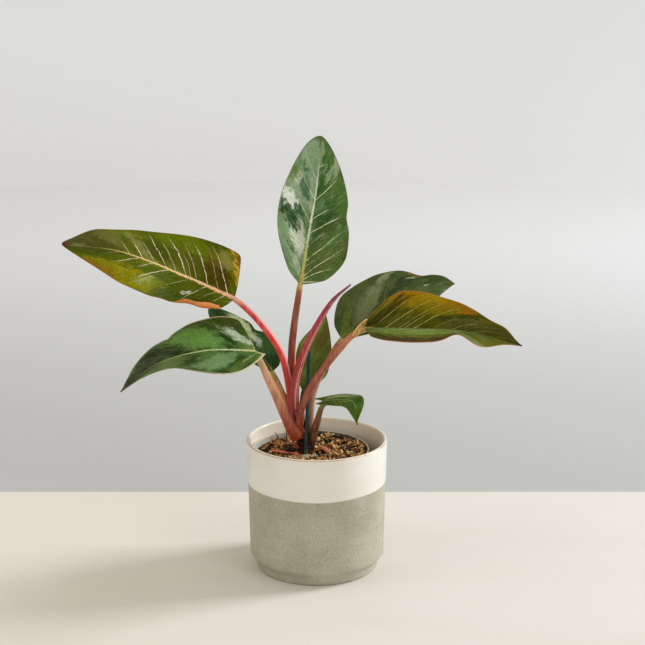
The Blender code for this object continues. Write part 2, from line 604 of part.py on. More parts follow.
def make_stems(surface):
    """Trunk, all stalks and the furled young leaf, joined into one grown body."""
    x, y = TRUNK_AXIS
    heights = ((TRUNK_BOTTOM, 0.7), (TRUNK_BOTTOM + 3 * MM, 1.0), (SOIL_EDGE + 6 * MM, 1.0), (TRUNK_TOP - 6 * MM, 0.9),
               (TRUNK_TOP, 0.55))
    bm = bmesh.new()
    rings = []
    for height, share in heights:
        ring = []
        for k in range(TRUNK_SIDES):
            angle = math.tau * k / TRUNK_SIDES
            radius = TRUNK_RADIUS * share
            ring.append(bm.verts.new((x + radius * math.cos(angle), y + radius * math.sin(angle), height)))
        rings.append(ring)
    for one, two in zip(rings[:-1], rings[1:]):
        for k in range(TRUNK_SIDES):
            bm.faces.new((one[k], one[(k + 1) % TRUNK_SIDES], two[(k + 1) % TRUNK_SIDES], two[k]))
    bm.faces.new(rings[0][::-1])
    bm.faces.new(rings[-1])
    stems = finish("stems", bm, surface, merge=False)
    grown = []
    for name, leaf in LEAVES.items():
        points = [Vector(point) * MM for point in leaf["stalk"]] + [stalk_seat(leaf)]
        radii = [radius * MM for radius in leaf["radii"]]
        grown.append(tube(name + "_stalk", points, radii, STALK_SIDES, 2 * len(points), surface))
    young = [Vector(point) * MM for point in YOUNG_LEAF]
    grown.append(tube("young_leaf", young, [radius * MM for radius in YOUNG_RADII], STALK_SIDES, 22, surface))
    combine(stems, grown, "UNION")
    return stems


def main():
    clear_scene()
    stoneware = material("stoneware", (0.42, 0.40, 0.33), 0.6)
    plastic = material("nursery_plastic", (0.05, 0.06, 0.065), 0.45)
    earth = material("bark_mix", (0.10, 0.055, 0.025), 0.95)
    red = material("red_stalk", (0.30, 0.06, 0.035), 0.4)
    dry = material("dry_sheath", (0.48, 0.13, 0.10), 0.6)
    rod = material("green_stake", (0.015, 0.07, 0.06), 0.4)
    greens = {
        "leaf_top": (0.06, 0.16, 0.04),
        "leaf_upper_left": (0.16, 0.20, 0.02),
        "leaf_lower_left": (0.05, 0.15, 0.035),
        "leaf_behind_left": (0.03, 0.09, 0.03),
        "leaf_back_right": (0.05, 0.12, 0.04),
        "leaf_front_right": (0.18, 0.17, 0.015),
        "leaf_centre": (0.04, 0.11, 0.025),
        "leaf_small": (0.08, 0.18, 0.03),
    }
    make_cover_pot(stoneware)
    make_nursery_pot(plastic)
    soil = make_soil(earth)
    make_stems(red)
    for name, leaf in LEAVES.items():
        blade(name, leaf, material(name + "_green", greens[name], 0.3))
    cylinder("stake", Vector(STAKE_BOTTOM) * MM, Vector(STAKE_TOP) * MM, STAKE_RADIUS, 12, rod)
    for name, (plan, half) in DRY_STRIPS.items():
        dry_strip(name, plan, half, soil, dry)


main()
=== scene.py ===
"""Looks of the potted philodendron: fine blades, stalks, soil, pots, light and camera."""
import math
import random
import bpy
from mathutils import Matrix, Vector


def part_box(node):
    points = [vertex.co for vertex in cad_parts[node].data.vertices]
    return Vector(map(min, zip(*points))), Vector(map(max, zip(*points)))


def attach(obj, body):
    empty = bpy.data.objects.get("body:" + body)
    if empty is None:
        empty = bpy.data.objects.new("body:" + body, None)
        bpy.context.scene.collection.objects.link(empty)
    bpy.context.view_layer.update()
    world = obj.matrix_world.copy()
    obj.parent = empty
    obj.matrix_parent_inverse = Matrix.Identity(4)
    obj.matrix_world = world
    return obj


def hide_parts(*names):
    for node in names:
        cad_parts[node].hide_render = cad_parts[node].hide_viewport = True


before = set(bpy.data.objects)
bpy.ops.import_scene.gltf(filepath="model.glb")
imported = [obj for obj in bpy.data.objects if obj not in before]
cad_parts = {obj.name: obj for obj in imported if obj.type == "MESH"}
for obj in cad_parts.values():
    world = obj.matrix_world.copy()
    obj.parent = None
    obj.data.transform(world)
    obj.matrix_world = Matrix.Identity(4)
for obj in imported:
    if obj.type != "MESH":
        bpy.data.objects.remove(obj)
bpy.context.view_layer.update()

from types import SimpleNamespace

import bpy
import numpy as np
from mathutils import Vector, noise

MM = 0.001

# Pots, soil, trunk and stake as in the part's source, in millimetres, but the foot is 2 mm wider
POT_HEIGHT, POT_RIM, POT_LOW, POT_FOOT, POT_BEVEL = 133.0, 70.0, 67.6, 61.0, 15.0
POT_WALL, POT_FLOOR, GLAZE_LINE = 3.7, 8.0, 90.0
INNER_OFFSET, SOIL_RADIUS, SOIL_EDGE, SOIL_MOUND, SOIL_SPREAD = -6.5, 56.0, 115.5, 3.2, 57.2
SOIL_DIP, SOIL_DIP_CENTRE, SOIL_DIP_SPREAD = 3.2, (-7.0, -3.0), 16.0
TRUNK = (-11.5, 7.0, 9.4, 112.0, 138.0)
STAKE = ((-13.0, -11.4, 58.0), (-7.4, 3.6, 222.0), 1.85)
NURSERY_TOP = 122.0
BLADE_END = 0.998

# Loose matter on the soil, and seeds of the random numbers
CHIPS, FIBRES, GRIT = 4600, 90, 30
SOIL_SEED, LEAF_SEED = 5, 40

# Rows along a blade and steps across each side
LARGE_GRID, SMALL_GRID = (120, 36), (70, 22)
SMALL_BLADES = ("leaf_small", "leaf_centre", "leaf_behind_left")

# A stalk eases into its seat below the blade, runs on under the rib and has a ring at each step
STALK_EASE, STALK_UNDER, STALK_STEP, STALK_SIDES = 34.0, 30.0, 0.8, 24

# The photograph's camera, and the table and sweep around it, in metres
CAMERA_PLACE, CAMERA_PITCH, LENS, SENSOR = (0.0056, -1.517, 0.6406), 14.385, 89.30, 36.0
TABLE_REACH, SWEEP_RADIUS, WALL_TOP = 2.4, 1.2, 4.0


def side(half, widest, base, taper, lobe, slope, dents=(), curl=(), waves=()):
    """One side of a blade: widths, slopes from rib to edge, dents, curled parts and edge waves."""
    return dict(half=half, widest=widest, base=base, taper=taper, lobe=lobe, slope=slope,
                dents=dents, curl=curl, waves=waves)


# The leaves as in the part's source, in millimetres and degrees, rib and stalk from their base on. Only
# the upper left one's left side is dented and folded differently, and the lower left one's right side
# has other dents and one more wave.
LEAVES = {
    "leaf_top": dict(
        rib=((-16, 8, 288), (-8, 21, 335), (0, 34, 381), (4, 36, 430)),
        face=(0.0, -1.0, 0.15), turn=(15, 2),
        left=side(39, 0.44, 0.37, 0.53, -8, (30, 14), waves=((0.3, 0.1, 1.6), (0.55, 0.1, -1.6))),
        right=side(40.5, 0.23, 0.57, 0.66, -6, (25, 13), dents=((0.48, 0.09, 0.07),),
                   waves=((0.48, 0.08, 2.4), (0.68, 0.09, -1.6))),
        stalk=((-13, 10, 126), (-20, 12, 150), (-25, 12, 184), (-24.5, 10.5, 225), (-20, 8.5, 264)),
        radii=(4.8, 4.4, 4.0, 3.7, 3.3, 2.9),
    ),
    "leaf_upper_left": dict(
        rib=((-79.5, -13, 279), (-132, -15, 303.5), (-184, -35, 329), (-239, -46, 339)),
        face=(0.0, -0.63, 0.78), turn=(-14, 27),
        left=side(40, 0.54, 0.5, 0.82, -12, (7, -30),
                  dents=((0.1, -0.18, 0.14), (0.28, -0.12, 0.06), (0.4, 0.08, 0.07)),
                  curl=((0.04, 0.09, 175), (0.21, 0.14, 165)),
                  waves=((0.5, 0.09, 1.2), (0.7, 0.09, -1.2))),
        right=side(52, 0.24, 0.89, 0.52, -7, (-4, -10), dents=((0.86, -0.42, 0.11),),
                   waves=((0.3, 0.08, 1.2), (0.5, 0.09, -1.2))),
        stalk=((-14, 7, 124), (-24, 7, 150), (-27.5, 3, 186), (-36, -1, 222), (-57, -7, 255)),
        radii=(4.6, 4.2, 3.7, 3.4, 3.0, 2.7),
    ),
    "leaf_lower_left": dict(
        rib=((-59.5, -27, 230), (-106, -42, 234), (-151, -59, 225.5), (-183, -88, 207)),
        face=(-0.05, -0.54, 0.84), turn=(-13, 38),
        left=side(36, 0.32, 0.12, 1.35, 10, (8, 1), dents=((0.58, 0.08, 0.08),),
                  waves=((0.35, 0.08, -1.0), (0.6, 0.09, 1.6))),
        right=side(40.5, 0.24, 0.84, 0.94, -10, (10, -4), dents=((0.51, 0.06, 0.02), (0.6, -0.06, 0.06)),
                   waves=((0.12, 0.1, 1.4), (0.35, 0.08, 1.2), (0.55, 0.07, -1.6))),
        stalk=((-14, 5, 125), (-22.5, -2, 139), (-32, -8, 161), (-41.5, -15.5, 186), (-52, -23, 210)),
        radii=(5.6, 5.9, 5.3, 4.4, 3.5, 2.9),
    ),
    "leaf_behind_left": dict(
        rib=((-44, 13, 198), (-62, 24, 219), (-86, 38, 236), (-109, 49, 254)),
        face=(0.2, -0.8, 0.55), turn=(6, 8),
        left=side(21, 0.42, 0.33, 0.62, -5, (17, 12)),
        right=side(20, 0.24, 0.5, 0.61, -1, (13, 8), dents=((0.47, 0.2, 0.06),)),
        stalk=((-14, 8, 126), (-22, 8, 146), (-30, 8, 165), (-39, 10, 184)),
        radii=(5.0, 4.6, 4.0, 3.3, 2.5),
    ),
    "leaf_back_right": dict(
        rib=((24, 22, 230), (59, 35, 256), (98, 52, 273), (140, 66, 275)),
        face=(-0.1, -0.55, 0.8), turn=(-9, 0),
        left=side(36, 0.24, 0.44, 0.82, -3, (22, 9), dents=((0.76, 0.28, 0.08), (0.96, -0.4, 0.07)),
                  waves=((0.5, 0.09, 1.4), (0.76, 0.08, -1.0))),
        right=side(41, 0.48, 0.25, 1.2, -7, (20, -10), waves=((0.3, 0.09, -1.2), (0.55, 0.09, 1.6))),
        stalk=((-10, 9, 126), (-7, 9, 150), (-2.5, 8, 180), (11, 12, 208)),
        radii=(4.2, 3.7, 3.2, 2.9, 2.5),
    ),
    "leaf_front_right": dict(
        rib=((47, -13, 249), (97, -24, 251), (147, -31, 249.5), (197, -40, 238.5)),
        face=(0.0, -0.46, 0.89), turn=(2, -6),
        left=side(40.8, 0.24, 0.2, 1.08, 0, (29, 18), dents=((0.9, -0.5, 0.08),),
                  waves=((0.35, 0.09, 1.0), (0.6, 0.09, 1.0))),
        right=side(40, 0.32, 0.54, 1.0, -8, (34, 11), dents=((0.6, 0.14, 0.08), (0.76, -0.3, 0.09)),
                   waves=((0.585, 0.075, 6.2), (0.78, 0.09, -5.0))),
        stalk=((-13, 5, 126), (-17.5, -1, 145), (-15, -6, 165), (-6, -11, 188), (10, -14.5, 213),
               (30, -14.5, 236)),
        radii=(4.6, 4.0, 3.5, 3.5, 3.4, 3.2, 2.8),
    ),
    "leaf_centre": dict(
        rib=((-14, 18, 176), (-6, 25, 201), (2, 33, 224), (9, 36, 250)),
        face=(-0.2, -1.0, 0.2), turn=(1, 0),
        left=side(18.5, 0.5, 0.24, 1.15, -4, (21, 11)),
        right=side(20, 0.3, 0.24, 0.9, -4, (20, 10)),
        stalk=((-12, 10, 126), (-15, 14, 150)),
        radii=(3.8, 3.2, 2.3),
    ),
    "leaf_small": dict(
        rib=((6, -25, 178), (23, -39, 184), (36, -54, 185), (39, -56, 164.5)),
        face=(0.1, -0.45, 0.9), turn=(-14, -8),
        left=side(14.5, 0.52, 0.7, 1.7, 18, (18, -1)),
        right=side(12.5, 0.52, 0.2, 1.15, 8, (-1, -20)),
        stalk=((-7, 7, 121), (-3, 0, 138), (1, -9, 154)),
        radii=(4.2, 4.1, 3.4, 2.3),
    ),
}

YOUNG_LEAF = ((-14, 7, 126), (-20, 4, 150), (-22, -1, 178), (-18, -4, 205), (-9, -6, 231), (3, -7, 255),
              (16, -8, 276), (33, -8, 291.5))
YOUNG_RADII = (4.8, 4.8, 4.6, 4.3, 3.9, 3.2, 2.1, 0.8)

# How each leaf looks, where it differs from the plain look. Colours are display values from 0 to 255.
# mains: place along the rib, side, end across, strength, lean. rib: stops from the base to the tip.
# zones: place along the rib, across from -1 (left) to 1 (right), reach along and across, colour, strength;
# besides the leaf's own patches they hold painted sheen and painted shade, noted at each leaf.
PLAIN_LOOK = dict(veins=9, advance=(0.28, 0.28), bend=0.9, mains=(), vein_share=0.4, vein_width=0.8,
                  side_share=0.12, margin_share=0.4, margin_width=1.0, margin_far=1.0, flecks=0.3,
                  streaks=0.3, gloss=0.1, swell=0.4)
LOOKS = {
    "leaf_top": dict(
        deep=(44, 82, 30), bright=(82, 120, 50), vein=(248, 250, 206), veins=10.5, advance=(0.2, 0.25),
        bend=0.95, vein_share=0.95, side_share=0.1, rib_width=3.9, margin=(128, 70, 56), margin_share=0.5,
        tip=(88, 112, 60), streaks=0.55, under=(96, 118, 66), spots=(120, 140, 80), rough=0.3, gloss=0.14,
        swell=0.55,
        mains=((0.012, 1, 0.8, 0.8, -0.25), (0.022, 1, 0.88, 0.9, -0.13), (0.03, 1, 0.98, 1.0, 0.01),
               (0.1, 1, 0.4, 0.45, 0.0), (0.145, 1, 0.92, 1.0, 0.03), (0.25, 1, 0.45, 0.4, 0.0),
               (0.335, 1, 0.95, 1.0, -0.08), (0.43, 1, 0.55, 1.0, -0.08), (0.565, 1, 0.85, 0.9, -0.03),
               (0.785, 1, 0.35, 0.8, -0.15), (0.02, -1, 0.95, 0.5, -0.1), (0.2, -1, 0.85, 0.7, -0.08),
               (0.4, -1, 0.62, 0.8, 0.1), (0.57, -1, 0.65, 0.8, 0.1), (0.7, -1, 0.8, 0.7, 0.08)),
        rib=((0.0, (222, 204, 96)), (0.22, (200, 204, 118)), (0.42, (238, 248, 210)),
             (0.6, (238, 248, 220)), (1.0, (186, 208, 164))),
        # Painted sheen: the pale and white patches, most of them on the left half, are the key lamp's
        # reflection painted in; the pale patches on the right half are painted sheen as well.
        zones=((0.5, -0.6, 0.75, 0.75, (120, 154, 112), 0.9), (0.88, -0.4, 0.2, 0.6, (150, 178, 144), 0.75),
               (0.6, -0.5, 0.05, 0.5, (160, 184, 152), 0.8),
               (0.55, -0.78, 0.07, 0.3, (236, 246, 236), 0.95),
               (0.7, -0.62, 0.05, 0.3, (196, 210, 180), 0.85),
               (0.64, -0.36, 0.07, 0.26, (70, 114, 78), 0.85),
               (0.62, -0.12, 0.16, 0.1, (170, 190, 162), 0.8), (0.46, -0.42, 0.05, 0.22, (52, 88, 46), 0.9),
               (0.3, -0.36, 0.12, 0.34, (224, 232, 214), 0.9), (0.42, -0.66, 0.07, 0.38, (22, 66, 14), 1.0),
               (0.19, -0.55, 0.035, 0.17, (66, 92, 60), 0.9), (0.12, -0.4, 0.06, 0.3, (184, 206, 170), 0.8),
               (0.76, -0.87, 0.05, 0.2, (92, 128, 40), 0.85), (0.78, -0.5, 0.02, 0.22, (60, 100, 58), 0.8),
               (0.2, 0.5, 0.24, 0.6, (92, 110, 54), 0.75), (0.55, 0.35, 0.1, 0.3, (64, 108, 54), 0.6),
               (0.54, 0.2, 0.06, 0.16, (110, 150, 104), 0.6), (0.72, 0.3, 0.12, 0.35, (46, 92, 34), 0.7),
               (0.76, 0.5, 0.03, 0.24, (160, 192, 150), 0.75), (0.8, 0.35, 0.02, 0.2, (140, 176, 130), 0.6),
               (0.82, 0.88, 0.05, 0.3, (180, 200, 168), 0.7),
               (0.91, 0.2, 0.07, 0.32, (148, 174, 130), 0.85), (0.35, 0.75, 0.06, 0.3, (80, 124, 62), 0.6))),
    "leaf_upper_left": dict(
        deep=(70, 82, 0), bright=(104, 112, 8), vein=(250, 232, 206), veins=8.6, advance=(0.28, 0.13),
        bend=1.0, vein_share=0.9, vein_width=0.62, rib_width=3.8, margin=(150, 92, 44), margin_share=0.7,
        tip=(84, 24, 22), flecks=0.5, streaks=0.08, under=(242, 152, 68), spots=(214, 96, 66), rough=0.42,
        gloss=0.03, swell=0.3,
        mains=((0.04, 1, 1.0, 1.0, 0.045), (0.1, 1, 0.85, 0.35, 0.02), (0.155, 1, 0.95, 1.0, 0.03),
               (0.225, 1, 0.85, 0.45, 0.01), (0.262, 1, 0.6, 0.35, 0.0), (0.295, 1, 0.98, 1.0, -0.015),
               (0.355, 1, 0.8, 0.45, -0.03), (0.415, 1, 0.95, 0.9, -0.045), (0.48, 1, 0.7, 0.45, -0.04),
               (0.545, 1, 0.6, 0.8, -0.04), (0.62, 1, 0.5, 0.5, -0.03), (0.055, -1, 0.5, 0.8, -0.2),
               (0.1, -1, 0.5, 0.4, -0.14), (0.16, -1, 0.75, 0.9, -0.12), (0.27, -1, 0.6, 0.4, -0.05),
               (0.395, -1, 0.85, 1.0, 0.0), (0.49, -1, 0.4, 0.7, -0.02), (0.565, -1, 0.6, 0.9, 0.03),
               (0.68, -1, 0.3, 0.4, 0.0)),
        rib=((0.0, (246, 190, 160)), (0.1, (252, 200, 150)), (0.3, (250, 212, 160)), (0.5, (232, 198, 140)),
             (0.66, (200, 176, 104)), (0.8, (130, 126, 56)), (1.0, (92, 86, 24))),
        # Painted sheen: the greyish pale patches near the upper base corner, in the middle of the upper half,
        # towards the tip and on the lower half.
        zones=((0.35, -0.4, 0.4, 0.42, (70, 86, 0), 0.75), (0.66, -0.75, 0.24, 0.36, (136, 128, 2), 0.95),
               (0.8, -0.94, 0.12, 0.22, (140, 98, 26), 0.6), (0.5, -0.62, 0.12, 0.2, (110, 118, 8), 0.8),
               (0.12, 0.3, 0.09, 0.36, (76, 60, 0), 0.95), (0.0, 0.5, 0.035, 0.8, (212, 166, 60), 0.75),
               (0.01, 0.8, 0.035, 0.35, (128, 84, 10), 0.9), (0.2, 0.62, 0.05, 0.2, (96, 84, 8), 0.6),
               (0.115, 0.7, 0.045, 0.24, (150, 140, 78), 0.6), (0.56, 0.45, 0.04, 0.5, (128, 128, 70), 0.7),
               (0.48, 0.4, 0.06, 0.4, (62, 68, 6), 0.7), (0.33, 0.8, 0.14, 0.3, (100, 116, 2), 0.7),
               (0.3, 0.3, 0.08, 0.5, (90, 92, 10), 0.6), (0.86, 0.4, 0.2, 1.0, (62, 66, 12), 0.85),
               (0.74, 0.6, 0.08, 0.4, (106, 104, 50), 0.75), (0.9, 0.0, 0.06, 0.3, (120, 124, 70), 0.6),
               (0.97, 0.0, 0.06, 1.0, (70, 50, 16), 0.8), (0.53, -0.62, 0.03, 0.24, (150, 156, 84), 0.75),
               (0.26, -0.43, 0.02, 0.07, (216, 214, 190), 0.8))),
    "leaf_lower_left": dict(
        deep=(38, 64, 18), bright=(84, 120, 46), vein=(176, 206, 150), advance=(0.3, 0.26), bend=0.95,
        vein_share=0.5, rib_width=2.4, margin=(226, 212, 176), margin_share=0.85, margin_width=1.5,
        margin_far=0.3, tip=(44, 34, 24), flecks=0.2, streaks=0.7, under=(84, 116, 50), spots=(96, 130, 60),
        rough=0.27, swell=0.5,
        mains=((0.02, 1, 0.8, 0.7, -0.06), (0.03, 1, 0.7, 0.6, 0.03), (0.1, 1, 0.6, 0.3, 0.0),
               (0.24, 1, 0.6, 0.25, 0.0), (0.2, -1, 0.7, 0.3, 0.0), (0.38, -1, 0.7, 0.25, 0.0)),
        rib=((0.0, (196, 200, 150)), (0.4, (184, 200, 144)), (0.6, (140, 170, 110)), (0.75, (96, 124, 66)),
             (1.0, (60, 66, 38))),
        # Painted sheen: the two pale bluish patches on the right half near the base.
        zones=((0.15, 0.85, 0.1, 0.25, (56, 76, 18), 0.85), (0.05, 0.75, 0.05, 0.3, (64, 80, 24), 0.7),
               (0.09, 0.42, 0.06, 0.26, (188, 208, 180), 0.9), (0.16, 0.5, 0.02, 0.2, (150, 176, 140), 0.7),
               (0.36, 0.5, 0.14, 0.5, (104, 156, 74), 0.85), (0.42, 0.2, 0.06, 0.2, (112, 144, 84), 0.6),
               (0.62, 0.45, 0.14, 0.6, (30, 48, 20), 0.9), (0.3, -0.5, 0.14, 0.42, (110, 142, 92), 0.85),
               (0.46, -0.25, 0.07, 0.18, (42, 62, 24), 0.9), (0.38, -0.3, 0.03, 0.1, (60, 84, 36), 0.6),
               (0.13, -0.72, 0.08, 0.3, (76, 100, 36), 0.85),
               (0.03, -0.45, 0.025, 0.3, (150, 160, 120), 0.6), (0.85, 0.2, 0.24, 1.3, (40, 46, 26), 0.9),
               (0.6, -0.45, 0.1, 0.4, (84, 106, 54), 0.7), (0.55, -0.85, 0.1, 0.2, (78, 92, 34), 0.6))),
    "leaf_behind_left": dict(
        deep=(30, 62, 28), bright=(58, 94, 46), vein=(120, 150, 90), side_share=0.15, rib_width=1.4,
        margin=(120, 110, 60), tip=(60, 80, 40), flecks=1.0, under=(60, 84, 48), spots=(70, 96, 54),
        rough=0.3, gloss=0.12,
        rib=((0.0, (190, 186, 80)), (0.1, (110, 124, 60)), (0.3, (70, 92, 48)), (1.0, (50, 70, 40))),
        # Painted sheen: the two pale patches on the right half.
        zones=((0.0, 0.0, 0.02, 0.2, (150, 154, 60), 0.6), (0.4, 0.4, 0.08, 0.22, (198, 212, 200), 0.9),
               (0.6, 0.62, 0.2, 0.4, (196, 216, 166), 0.9))),
    "leaf_back_right": dict(
        deep=(58, 76, 34), bright=(88, 102, 54), vein=(150, 168, 122), advance=(0.33, 0.3), bend=1.2,
        vein_share=0.45, side_share=0.1, rib_width=1.4, margin=(120, 110, 60), margin_share=0.5,
        tip=(96, 90, 40), flecks=0.9, under=(84, 104, 60), spots=(96, 116, 66), rough=0.32, swell=0.5,
        mains=((0.07, -1, 0.95, 0.9, 0.0), (0.24, -1, 0.8, 0.5, -0.04), (0.41, -1, 0.8, 0.8, -0.06)),
        rib=((0.0, (150, 156, 80)), (0.3, (84, 104, 56)), (1.0, (70, 90, 50))),
        # Painted sheen: the greyish pale patches in the middle of the left half. Painted shade: the large
        # dark patch beyond the crease, where the blade turns away from the light.
        zones=((0.32, -0.3, 0.12, 0.45, (130, 140, 98), 0.85),
               (0.5, -0.78, 0.05, 0.24, (142, 150, 116), 0.8),
               (0.24, -0.35, 0.05, 0.4, (108, 120, 84), 0.7), (0.1, -0.55, 0.1, 0.4, (70, 94, 46), 0.7),
               (0.62, -0.45, 0.08, 0.9, (46, 64, 30), 0.9), (0.45, -0.3, 0.04, 0.3, (58, 74, 38), 0.7),
               (0.68, -0.62, 0.02, 0.14, (164, 178, 140), 0.85),
               (0.73, -0.92, 0.05, 0.12, (130, 104, 34), 0.9),
               (0.76, -0.12, 0.014, 0.08, (196, 210, 160), 0.9),
               (0.83, -0.45, 0.05, 0.3, (40, 58, 26), 0.8), (0.9, -0.2, 0.03, 0.5, (96, 116, 60), 0.7),
               (0.02, 0.1, 0.08, 0.8, (120, 136, 50), 0.6))),
    "leaf_front_right": dict(
        deep=(62, 66, 4), bright=(92, 92, 8), vein=(226, 214, 120), advance=(0.36, 0.3), bend=1.0,
        vein_share=0.8, vein_width=0.75, side_share=0.25, rib_width=1.4, margin=(196, 128, 78),
        margin_share=0.8, tip=(40, 32, 22), streaks=0.35, under=(110, 92, 40), spots=(120, 100, 50),
        rough=0.36, gloss=0.05, swell=0.35,
        mains=((-0.01, -1, 0.95, 0.85, 0.0), (0.115, -1, 1.0, 1.0, 0.0), (0.24, -1, 0.5, 0.6, 0.0),
               (0.205, -1, 0.9, 0.5, 0.0), (0.305, -1, 0.9, 1.0, 0.0), (0.42, -1, 0.5, 0.35, 0.0),
               (0.54, -1, 0.6, 0.45, 0.0), (0.68, -1, 0.5, 0.3, 0.0), (0.35, 1, 0.6, 0.35, -0.1),
               (0.5, 1, 0.5, 0.4, 0.1)),
        rib=((0.0, (120, 142, 76)), (0.3, (140, 158, 104)), (0.62, (128, 146, 92)), (0.8, (70, 76, 34)),
             (1.0, (60, 56, 24))),
        # On the right half, the pale green band along the rib is a painted highlight on the crest of the
        # fold, and the bands that darken from there to the edge are partly painted shade on the half that
        # turns down.
        zones=((0.34, -0.9, 0.26, 0.36, (164, 134, 0), 0.85), (0.57, -0.82, 0.11, 0.28, (170, 114, 0), 0.6),
               (0.62, -0.7, 0.03, 0.1, (190, 110, 4), 0.55), (0.26, -0.98, 0.12, 0.14, (170, 106, 24), 0.5),
               (0.46, -0.6, 0.14, 0.25, (126, 114, 4), 0.75), (0.09, -0.5, 0.09, 0.45, (42, 50, 2), 0.9),
               (0.18, -0.65, 0.08, 0.2, (78, 68, 4), 0.6), (0.03, -0.95, 0.05, 0.3, (100, 106, 52), 0.8),
               (0.28, -0.2, 0.2, 0.2, (84, 92, 22), 0.6), (0.8, -0.4, 0.16, 1.0, (66, 68, 22), 0.85),
               (0.6, -0.35, 0.1, 0.3, (86, 92, 40), 0.5), (0.95, 0.0, 0.14, 1.4, (48, 46, 20), 0.9),
               (0.32, 0.14, 0.4, 0.12, (132, 154, 104), 0.85),
               (0.3, 0.45, 0.34, 0.26, (116, 140, 62), 0.85), (0.34, 0.68, 0.3, 0.14, (86, 92, 34), 0.85),
               (0.36, 0.92, 0.3, 0.18, (62, 48, 24), 0.9), (0.68, 0.8, 0.07, 0.4, (112, 124, 76), 0.8),
               (0.72, 0.35, 0.06, 0.3, (84, 100, 52), 0.7))),
    "leaf_centre": dict(
        deep=(86, 118, 40), bright=(134, 168, 76), vein=(156, 182, 96), side_share=0.2, rib_width=1.2,
        margin=(120, 90, 48), margin_share=0.7, tip=(84, 66, 36), flecks=0.7, under=(70, 84, 40),
        spots=(80, 96, 46), rough=0.34, gloss=0.08,
        rib=((0.0, (100, 120, 56)), (1.0, (80, 94, 40))),
        zones=((0.8, 0.5, 0.2, 0.8, (112, 92, 44), 0.75), (0.45, 0.6, 0.2, 0.5, (98, 108, 48), 0.7),
               (0.25, 0.3, 0.2, 0.6, (94, 128, 48), 0.6))),
    "leaf_small": dict(
        deep=(46, 76, 10), bright=(72, 100, 24), vein=(150, 180, 110), veins=8, advance=(0.3, 0.3),
        vein_width=0.7, rib_width=0.8, margin=(150, 160, 90), tip=(66, 24, 14), flecks=0.25, streaks=0.1,
        under=(96, 124, 50), spots=(106, 136, 60), rough=0.32, swell=0.2,
        rib=((0.0, (150, 170, 120)), (0.6, (150, 180, 120)), (1.0, (80, 60, 30))),
        # Painted sheen: the two pale patches on the left half.
        zones=((0.22, -0.55, 0.14, 0.35, (138, 154, 100), 0.85),
               (0.42, -0.68, 0.12, 0.26, (126, 152, 92), 0.8), (0.9, 0.0, 0.1, 1.0, (70, 66, 24), 0.8))),
}
# Hollows in the crumbs: plan place from the inner pot's middle, reach and depth. Foot and tip of each
# twig. Line and radii of each bud.
HOLLOWS = ((16.5, 33, 8, 2.2), (35, 40, 7, 2.0), (-21, 10, 7, 2.4), (41, 12, 6, 1.8), (11, -10, 5, 1.2),
           (-44, 6, 6, 1.5), (18, 12, 5, 1.8), (-2, 34, 5, 1.4))
TWIGS = (((-39.5, 42, 117), (-43.2, 42, 125.0)), ((-31, 40, 116), (-32, 40, 127)))
BUDS = ((((-13.8, -2.5, 145), (-14.2, -5.2, 149), (-13.4, -6.0, 155)), (1.0, 1.25, 0.4)),
        (((-19, 1.5, 122), (-22.5, -0.5, 127), (-25.5, -1.5, 133)), (1.7, 1.6, 0.4)))

# Plan line and half-width of each dried strip
STRIP_PLANS = {
    "dry_strip_1": (((-47, 1.8), (-37, -2.6), (-27, -6.8)), 2.5),
    "dry_strip_2": (((-31, 1.6), (-23.5, -3.0), (-16, -6.6)), 2.4),
}

# How far a stalk's end lies below the blade's face, millimetres, where it isn't seen from above
STALK_SINK = {"leaf_lower_left": 3.1, "leaf_small": 2.4, "leaf_back_right": 1.6, "leaf_behind_left": 1.6}

# Where a stalk's own foot sits on the trunk, when it isn't the middle of it
STALK_STARTS = {"leaf_lower_left": (-16.5, -1.0, 132.5)}

# Stalk colours from the soil to the blade
STALK_LOOKS = {
    "leaf_top": ((0.0, (92, 34, 30)), (0.3, (140, 56, 40)), (0.7, (128, 56, 40)), (0.97, (146, 74, 48)),
                 (1.0, (206, 186, 84))),
    "leaf_upper_left": ((0.0, (150, 50, 48)), (0.3, (200, 46, 44)), (0.65, (226, 36, 34)),
                        (0.94, (226, 70, 70)), (1.0, (238, 178, 150))),
    "leaf_lower_left": ((0.0, (206, 96, 36)), (0.07, (170, 64, 44)), (0.3, (178, 96, 74)),
                        (0.66, (224, 160, 122)), (0.95, (206, 166, 124)), (1.0, (190, 188, 140))),
    "leaf_behind_left": ((0.0, (150, 66, 48)), (0.5, (196, 134, 98)), (0.85, (200, 158, 104)),
                         (1.0, (186, 176, 84))),
    "leaf_back_right": ((0.0, (150, 84, 56)), (0.35, (206, 156, 132)), (0.7, (186, 120, 92)),
                        (0.94, (180, 112, 76)), (1.0, (176, 168, 84))),
    "leaf_front_right": ((0.0, (140, 56, 46)), (0.3, (160, 76, 62)), (0.7, (168, 84, 64)),
                         (0.95, (198, 122, 86)), (1.0, (168, 152, 72))),
    "leaf_centre": ((0.0, (90, 44, 34)), (1.0, (80, 90, 40))),
    "leaf_small": ((0.0, (110, 60, 34)), (0.5, (114, 78, 52)), (0.9, (126, 96, 60)), (1.0, (110, 130, 70))),
}
# Strips up the right side of some stalks, the side that faces the key lamp: painted highlight on the upper
# left and lower left leaves' stalks, an orange streak on the top leaf's stalk. From, to, colour
LIT_SIDE_STRIPS = {
    "leaf_top": (0.36, 0.6, (228, 110, 44)),
    "leaf_upper_left": (0.3, 0.95, (242, 164, 160)),
    "leaf_lower_left": (0.0, 0.1, (214, 96, 40)),
}


def tint(colour, gain=1.0):
    """Linear colour of display values from 0 to 255."""
    shares = [c / 255 for c in colour]
    linear = [c / 12.92 if c <= 0.04045 else ((c + 0.055) / 1.055) ** 2.4 for c in shares]
    return (*[min(c * gain, 1.0) for c in linear], 1.0)


